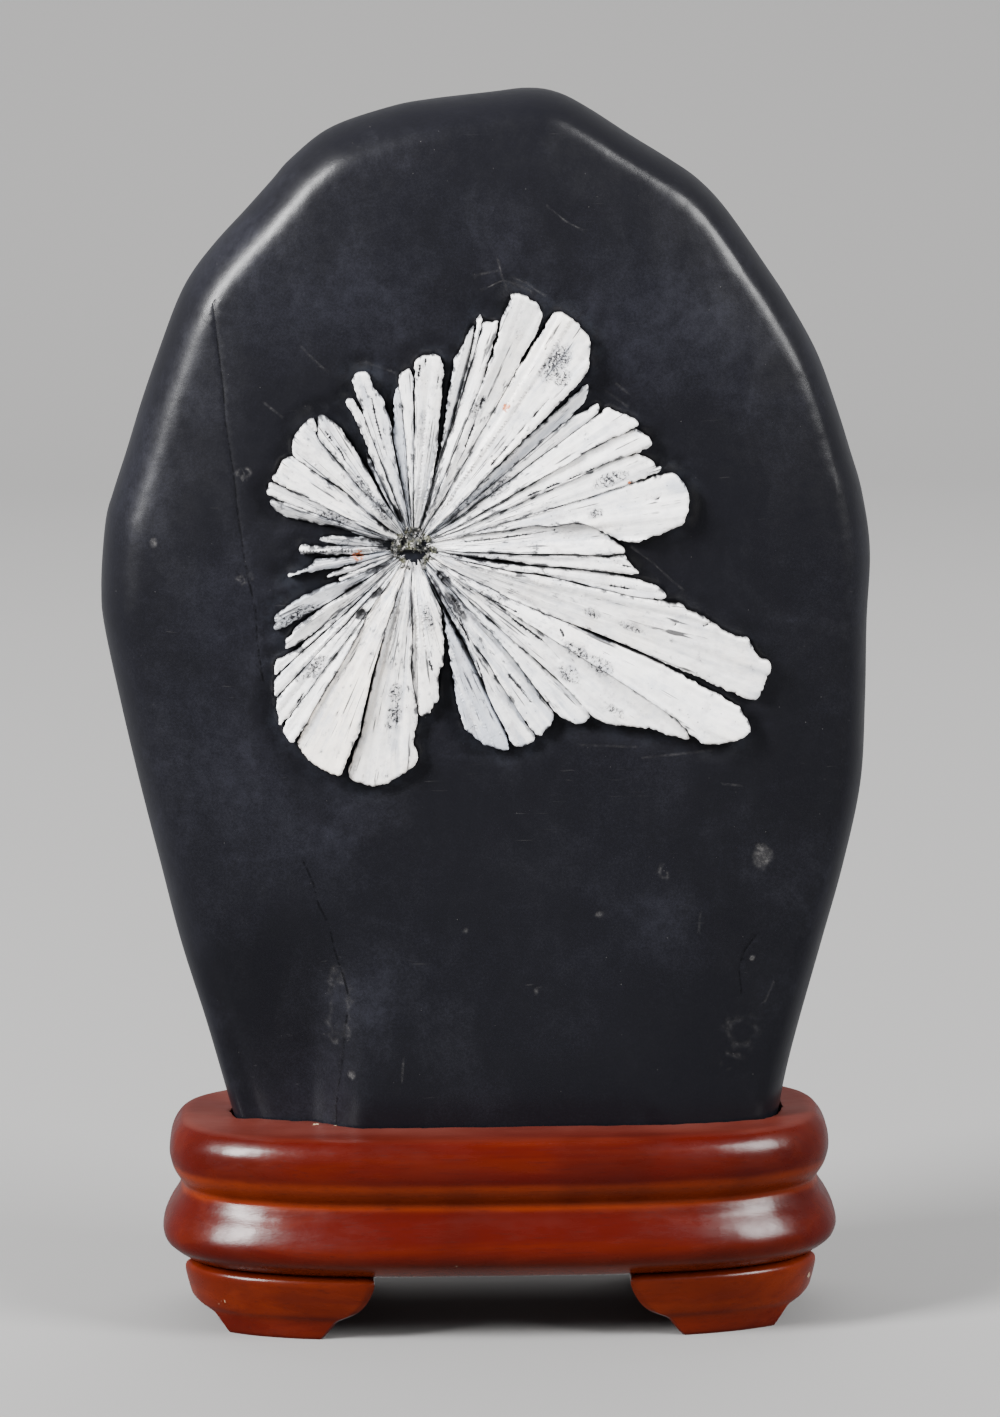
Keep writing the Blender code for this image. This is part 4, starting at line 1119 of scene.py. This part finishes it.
def blackStone():
    look = {
        "black": (0.0044, 0.0044, 0.0061), "haze": (0.0120, 0.0122, 0.0172),
        "pale": (0.13, 0.125, 0.12), "paintedSheen": (0.014, 0.0165, 0.023), "crack": (0.002, 0.002, 0.003),
    }
    s = Surface("waxed black stone", Specular_IOR_Level=0.20)
    spot = s.place()
    cloud = s.noise(spot, 42, 4, 0.55)
    smear = s.noise(s.place((1, 1, 0.6)), 19, 5, 0.6, 0.8)
    sideSmear = s.noise(s.place((0.3, 1, 1)), 9, 4, 0.6, 0.6)
    mottle = s.noise(spot, 3.2, 4, 0.65)
    grain = s.noise(spot, 0.5, 2, 0.7)
    haze = s.sum(s.band(cloud, 0.42, 0.74), s.band(smear, 0.48, 0.76, 0, 0.6))
    haze = s.sum(haze, s.band(sideSmear, 0.56, 0.76, 0, 0.4))
    haze = s.times(haze, s.band(mottle, 0.2, 0.8, 0.5, 1.2))
    haze = s.sum(haze, s.band(grain, 0.3, 0.7, -0.25, 0.35))
    colour = s.mix(s.band(haze, -0.1, 2.0), look["black"], look["haze"])
    # painted sheen: the carved slope round the crystals is made a paler, mottled blue-grey
    hollow = s.times(s.reading("hollow"), s.band(mottle, 0.38, 0.68, 0.0, 0.7))
    colour = s.mix(s.times(hollow, s.band(cloud, 0.4, 0.6)), colour, look["paintedSheen"])
    dust = s.band(s.spots(spot, 2.6), 0.055, 0.02)
    dustHere = s.band(s.noise(spot, 11, 2), 0.50, 0.62)
    colour = s.mix(s.times(s.times(dust, dustHere), 0.5), colour, look["pale"])
    rubbed = s.band(s.noise(s.place((0.10, 1, 2.0)), 1.2, 2, 0.5, 0.5), 0.70, 0.78)
    rubbed = s.times(rubbed, s.band(s.noise(spot, 24, 2), 0.5, 0.62))
    colour = s.mix(s.times(rubbed, 0.12), colour, look["pale"])
    grit = s.band(s.noise(spot, 0.9, 3, 0.7), 0.42, 0.66, 0.25, 1.0)
    scar = s.times(s.reading("scar"), grit)
    colour = s.mix(s.times(scar, 0.55), colour, look["pale"])
    broken = s.band(s.noise(spot, 1.8, 3, 0.7), 0.44, 0.56)
    crack = s.times(s.reading("crack"), broken)
    colour = s.mix(crack, colour, look["crack"])
    rough = s.sum(s.band(smear, 0.35, 0.75, 0.30, 0.39), s.band(mottle, 0.3, 0.7, -0.02, 0.03))
    rough = s.sum(rough, s.times(s.reading("scar"), 0.2))
    broad = s.noise(spot, 6.5, 3, 0.5)
    return s.finish(colour, rough, [(broad, 0.07), (mottle, 0.03), (grain, 0.014)])


def whiteCrystal():
    look = {
        "white": (0.945, 0.928, 0.912), "cream": (0.90, 0.835, 0.755), "cool": (0.46, 0.49, 0.55),
        "shade": (0.21, 0.22, 0.245), "matrix": (0.010, 0.010, 0.013), "rust": (0.46, 0.13, 0.04),
        "smudge": (0.40, 0.375, 0.385),
    }
    s = Surface("white crystal", Specular_IOR_Level=0.4)
    spot = s.place()
    reach, streak, blade = s.reading("reach"), s.reading("streak"), s.reading("blade")
    tone, rim, terrace = s.reading("tone"), s.reading("rimDistance"), s.reading("terrace")

    def fibres(across, along, detail=3.0, rough=0.55, shift=0.0):
        vector = s.add("CombineXYZ", {"X": s.times(streak, across),
                                      "Y": s.times(reach, along),
                                      "Z": s.sum(s.times(blade, 3.7), shift)})
        return s.noise(vector.outputs["Vector"], 1.0, detail, rough)

    broad, fine, thin = fibres(0.30, 0.04), fibres(0.9, 0.07, 4.0), fibres(1.7, 0.055, 2.0)
    blotch, clump = s.noise(spot, 6.0, 4, 0.6), s.noise(spot, 2.2, 3, 0.6)
    inner = s.band(reach, 46, 7)
    # body colour: white to cream, cooler and greyer towards the heart and in streaks; cooler and
    # greyer on the low laths as painted shade
    colour = s.mix(s.band(tone, 0.05, 0.8), look["white"], look["cream"])
    warm = s.times(s.band(s.noise(spot, 9.0, 3, 0.5), 0.50, 0.70), s.band(tone, -0.4, 0.3))
    colour = s.mix(s.times(warm, 0.55), colour, look["cream"])
    soft = s.band(s.noise(spot, 3.4, 4, 0.7), 0.45, 0.72)
    colour = s.mix(s.times(soft, 0.38), colour, look["cool"])
    cool = s.sum(s.band(tone, 0.1, -0.9), s.band(reach, 32, 5, 0, 0.36))
    cool = s.sum(cool, s.band(fine, 0.47, 0.64, 0, 0.5))
    cool = s.sum(cool, s.band(blotch, 0.46, 0.64, 0, 0.35))
    cool = s.sum(cool, s.band(terrace, 0.1, -0.6, 0, 0.35))
    colour = s.mix(s.band(cool, 0.15, 1.6), colour, look["cool"])
    # grey streaks, and painted shade on the low laths, nearer the heart
    grey = s.sum(s.band(broad, 0.50, 0.64), s.band(terrace, 0.2, -0.4, 0, 0.6))
    grey = s.times(grey, s.band(inner, 0, 1, 0.20, 0.46))
    colour = s.mix(s.times(grey, s.band(clump, 0.3, 0.7, 0.2, 0.8)), colour, look["shade"])
    # warm grey smudges that run along the blades, with dark specks in them
    smudge = s.sum(fibres(0.35, 0.13, 4.0, 0.65, 21.0), s.band(reach, 70, 25, -0.05, 0.02))
    smudge = s.sum(smudge, s.times(s.reading("grain"), 0.06))
    soft = s.times(s.band(smudge, 0.50, 0.70), s.band(clump, 0.35, 0.65, 0.3, 0.9))
    colour = s.mix(s.times(soft, 0.72), colour, look["smudge"])
    speck = s.times(s.band(s.spots(spot, 0.85), 0.24, 0.12), s.band(smudge, 0.545, 0.63))
    speck = s.times(speck, s.band(s.noise(spot, 1.3, 2), 0.45, 0.60))
    colour = s.mix(s.times(speck, 0.85), colour, look["matrix"])
    # long black lines, broken along their length, thicker near the heart
    amount = s.sum(s.sum(thin, s.times(inner, 0.045)), s.times(s.band(tone, 0, -0.8), 0.03))
    lines = s.times(s.band(amount, 0.630, 0.665), s.band(fibres(0.5, 0.09, 3.0, 0.65), 0.44, 0.54))
    colour = s.mix(s.times(lines, 0.9), colour, look["matrix"])
    # dark rock clings beside the clefts, and painted shade darkens the blades' edges along them
    beside = s.sum(fibres(0.8, 0.30, 4.0, 0.65, 9.0), s.band(rim, 0.8, 0.05, 0, 0.13))
    beside = s.sum(beside, s.band(reach, 62, 20, -0.07, 0.015))
    colour = s.mix(s.times(s.band(beside, 0.54, 0.66), 0.5), colour, look["shade"])
    colour = s.mix(s.times(s.band(beside, 0.625, 0.69), 0.85), colour, look["matrix"])
    # patches of dark grains, and stray ones
    grains = s.sum(s.noise(spot, 0.7, 4, 0.8), s.times(s.reading("grain"), 0.10))
    here = s.band(s.sum(s.reading("grain"), s.times(clump, 0.8)), 0.60, 0.95)
    colour = s.mix(s.times(here, 0.36), colour, look["shade"])
    colour = s.mix(s.times(s.band(grains, 0.565, 0.62), here), colour, look["matrix"])
    stray = s.times(s.band(s.spots(spot, 1.7), 0.13, 0.06), s.band(blotch, 0.53, 0.62))
    colour = s.mix(s.times(stray, 0.8), colour, look["matrix"])
    colour = s.mix(s.band(s.reading("crack"), 0.2, 0.5), colour, look["matrix"])
    pit = s.band(s.sum(s.reading("pit"), s.times(clump, 0.5)), 0.42, 0.72)
    colour = s.mix(s.times(pit, 0.95), colour, look["matrix"])
    rust = s.times(s.reading("rust"), s.band(s.noise(spot, 0.8, 3), 0.35, 0.6))
    colour = s.mix(s.band(rust, 0.15, 0.5), colour, look["rust"])
    # painted shade: the blades' side walls in the clefts are made near black
    colour = s.mix(s.band(rim, 0.0, -0.5, 0, 0.85), colour, look["matrix"])
    rough = s.band(fine, 0.3, 0.7, 0.34, 0.56)
    return s.finish(colour, rough, [(broad, 0.22), (fine, 0.18), (thin, 0.08),
                                    (s.noise(spot, 0.7, 3, 0.6), 0.05)])


def grainyHeart():
    s = Surface("dark grainy pit", Specular_IOR_Level=0.5)
    spot = s.place()
    speck = s.noise(spot, 0.75, 4, 0.7)
    lump = s.reading("lump")
    colour = s.mix(s.band(speck, 0.50, 0.66), (0.012, 0.013, 0.012), (0.42, 0.40, 0.37))
    olive = s.band(s.noise(spot, 1.6, 2), 0.52, 0.62)
    colour = s.mix(s.times(olive, 0.6), colour, (0.085, 0.085, 0.045))
    # painted shade: the heart's pits and the dips between its lumps are made near black
    colour = s.mix(s.band(s.reading("pit"), 0.25, 0.8, 0, 0.9), colour, (0.008, 0.009, 0.009))
    colour = s.mix(s.band(lump, -0.1, -0.7), colour, (0.008, 0.008, 0.008))
    return s.finish(colour, s.band(speck, 0.3, 0.7, 0.35, 0.7), [(speck, 0.2)])


def lacqueredWood():
    look = {
        "deep": (0.022, 0.0012, 0.0003), "red": (0.043, 0.0017, 0.0003),
        "orange": (0.112, 0.0122, 0.0009), "chip": (0.36, 0.29, 0.19),
        "dust": (0.066, 0.0155, 0.0110),
    }
    s = Surface("red-brown lacquered wood", Specular_IOR_Level=0.20)
    spot = s.place()
    figure = s.noise(s.place((0.05, 0.5, 0.8)), 5.0, 4, 0.6, 0.6)
    pores = s.noise(s.place((0.16, 2.0, 2.4)), 1.1, 3, 0.6)
    cloud = s.noise(spot, 26, 3, 0.5)
    # the orange reading is painted fill light under the mouldings and on the feet, added to the
    # figure's own orange
    tint = s.sum(s.band(figure, 0.36, 0.66, 0, 0.30), s.reading("orange"))
    colour = s.mix(s.band(tint, 0.0, 1.1), look["red"], look["orange"])
    colour = s.mix(s.band(cloud, 0.60, 0.36, 0, 0.35), colour, look["deep"])
    colour = s.mix(s.band(pores, 0.57, 0.70, 0, 0.4), colour, look["deep"])
    colour = s.mix(s.times(s.reading("shade"), 0.8), colour, look["deep"])
    # dust and painted sheen on the ledge
    colour = s.mix(s.times(s.reading("ledge"), s.band(cloud, 0.3, 0.7, 0.35, 0.85)), colour,
                   look["dust"])
    chip = s.times(s.reading("chip"), s.band(s.noise(spot, 0.8, 2), 0.3, 0.6))
    colour = s.mix(s.band(chip, 0.25, 0.45), colour, look["chip"])
    smudge = s.noise(s.place((0.5, 1, 1.6)), 7, 4, 0.6)
    rough = s.sum(s.band(smudge, 0.35, 0.7, 0.23, 0.33), s.band(pores, 0.5, 0.8, 0, 0.05))
    rough = s.sum(rough, s.times(s.reading("ledge"), 0.18))
    fine = s.noise(spot, 0.8, 2, 0.6)
    orangePeel = s.noise(spot, 3.0, 2, 0.5)
    return s.finish(colour, rough, [(orangePeel, 0.035), (pores, 0.02), (fine, 0.006)])


# Build everything

stone = blackStone()
crystal = whiteCrystal()
wood = lacqueredWood()
buildSlab(stone)
buildSpray(crystal)
buildHeart(grainyHeart())
buildStand(wood)
for number, (name, node, mirrorX, mirrorY) in enumerate((
        ("footFrontRight", "foot_front_right", 1, 1), ("footFrontLeft", "foot_front_left", -1, 1),
        ("footBackRight", "foot_back_right", 1, -1), ("footBackLeft", "foot_back_left", -1, -1))):
    buildFoot(name, node, mirrorX, mirrorY, wood, 100 + number)
print("feet: 4")


# Studio

studio = {
    "paper": (0.186, 0.1835, 0.181),
    "aim": (1.2, 0.0, 145.9),
    "cameraDistance": 1800.0, "cameraHeight": 439.4,
    "cameraTurn": -1.0, "cameraRoll": -0.5, "lens": 194.5,
    "roomLight": 0.42,
    # where each light is and aims, its width and height, its watts, and 1 if gloss shows it
    "lights": {
        "left softbox": ((-1290, -690, 1060), (0, 0, 140), (520, 760), 134.0, 1),
        "right softbox": ((1267, -731, 1060), (0, 0, 140), (600, 820), 72.0, 1),
        "top softbox": ((0, -100, 1700), (0, 0, 100), (1200, 900), 3.0, 0),
        "backdrop light": ((0, 800, 1500), (0, 1650, 0), (2200, 500), 47.0, 0),
        "back softbox": ((200, 1480, 1250), (0, 0, 120), (1500, 900), 22.0, 0),
    },
    "sweepWidth": 5200, "sweepFront": -2600, "sweepBend": 1500, "bendRadius": 700,
}


def buildSweep():
    # a paper sweep: a floor that curves up behind, low enough to be looked over from the back
    bend, radius, half = studio["sweepBend"], studio["bendRadius"], studio["sweepWidth"] / 2
    line = [(studio["sweepFront"], 0), (-600, 0), (600, 0), (bend, 0)]
    for k in range(1, 13):
        turn = math.radians(60 * k / 12)
        line.append((bend + radius * math.sin(turn), radius - radius * math.cos(turn)))
    verts = [(x, y, z) for y, z in line for x in (-half, half)]
    faces = [(2 * i, 2 * i + 1, 2 * i + 3, 2 * i + 2) for i in range(len(line) - 1)]
    s = Surface("pale studio paper", Specular_IOR_Level=0.2, Roughness=0.9)
    darker = tuple(0.97 * c for c in studio["paper"])
    colour = s.mix(s.noise(s.place(), 240, 2), studio["paper"], darker)
    mesh = bpy.data.meshes.new("paperSweep")
    mesh.from_pydata([(x * mm, y * mm, z * mm) for x, y, z in verts], [], faces)
    mesh.shade_smooth()
    mesh.materials.append(s.finish(colour))
    sweep = bpy.data.objects.new("paperSweep", mesh)
    bpy.context.scene.collection.objects.link(sweep)
    sweep.visible_glossy = False  # keeps the paper's reflection off the gloss


def addLight(name, spot, aim, size, watts, inGloss):
    light = bpy.data.lights.new(name, "AREA")
    light.shape = "RECTANGLE"
    light.size, light.size_y = size[0] * mm, size[1] * mm
    light.energy = watts
    lamp = bpy.data.objects.new(name, light)
    lamp.location = Vector(spot) * mm
    lamp.rotation_euler = (Vector(aim) - Vector(spot)).to_track_quat("-Z", "Y").to_euler()
    lamp.visible_glossy = bool(inGloss)
    bpy.context.scene.collection.objects.link(lamp)


def addCamera():
    turn, roll = math.radians(studio["cameraTurn"]), math.radians(studio["cameraRoll"])
    distance = studio["cameraDistance"]
    aim = Vector(studio["aim"])
    spot = Vector((math.sin(turn) * distance + aim.x, -math.cos(turn) * distance,
                   studio["cameraHeight"]))
    ahead = (aim - spot).normalized()
    right = ahead.cross(Vector((0, 0, 1))).normalized()
    up = right.cross(ahead)
    right, up = (right * math.cos(roll) + up * math.sin(roll),
                 up * math.cos(roll) - right * math.sin(roll))
    data = bpy.data.cameras.new("camera")
    data.lens = studio["lens"]
    data.sensor_width = 36.0
    data.clip_end = 20.0
    camera = bpy.data.objects.new("camera", data)
    bpy.context.scene.collection.objects.link(camera)
    place = Matrix((right, up, -ahead)).transposed().to_4x4()
    place.translation = (spot + Vector((standMiddle, 0, 0))) * mm
    camera.matrix_world = place
    bpy.context.scene.camera = camera


buildSweep()
for name, setting in studio["lights"].items():
    addLight(name, *setting)
world = bpy.data.worlds.new("room")
world.use_nodes = True
sky = world.node_tree.nodes["Background"].inputs
sky["Color"].default_value = (0.80, 0.81, 0.83, 1)
sky["Strength"].default_value = studio["roomLight"]
bpy.context.scene.world = world
addCamera()
print("studio: sweep, lights and camera")
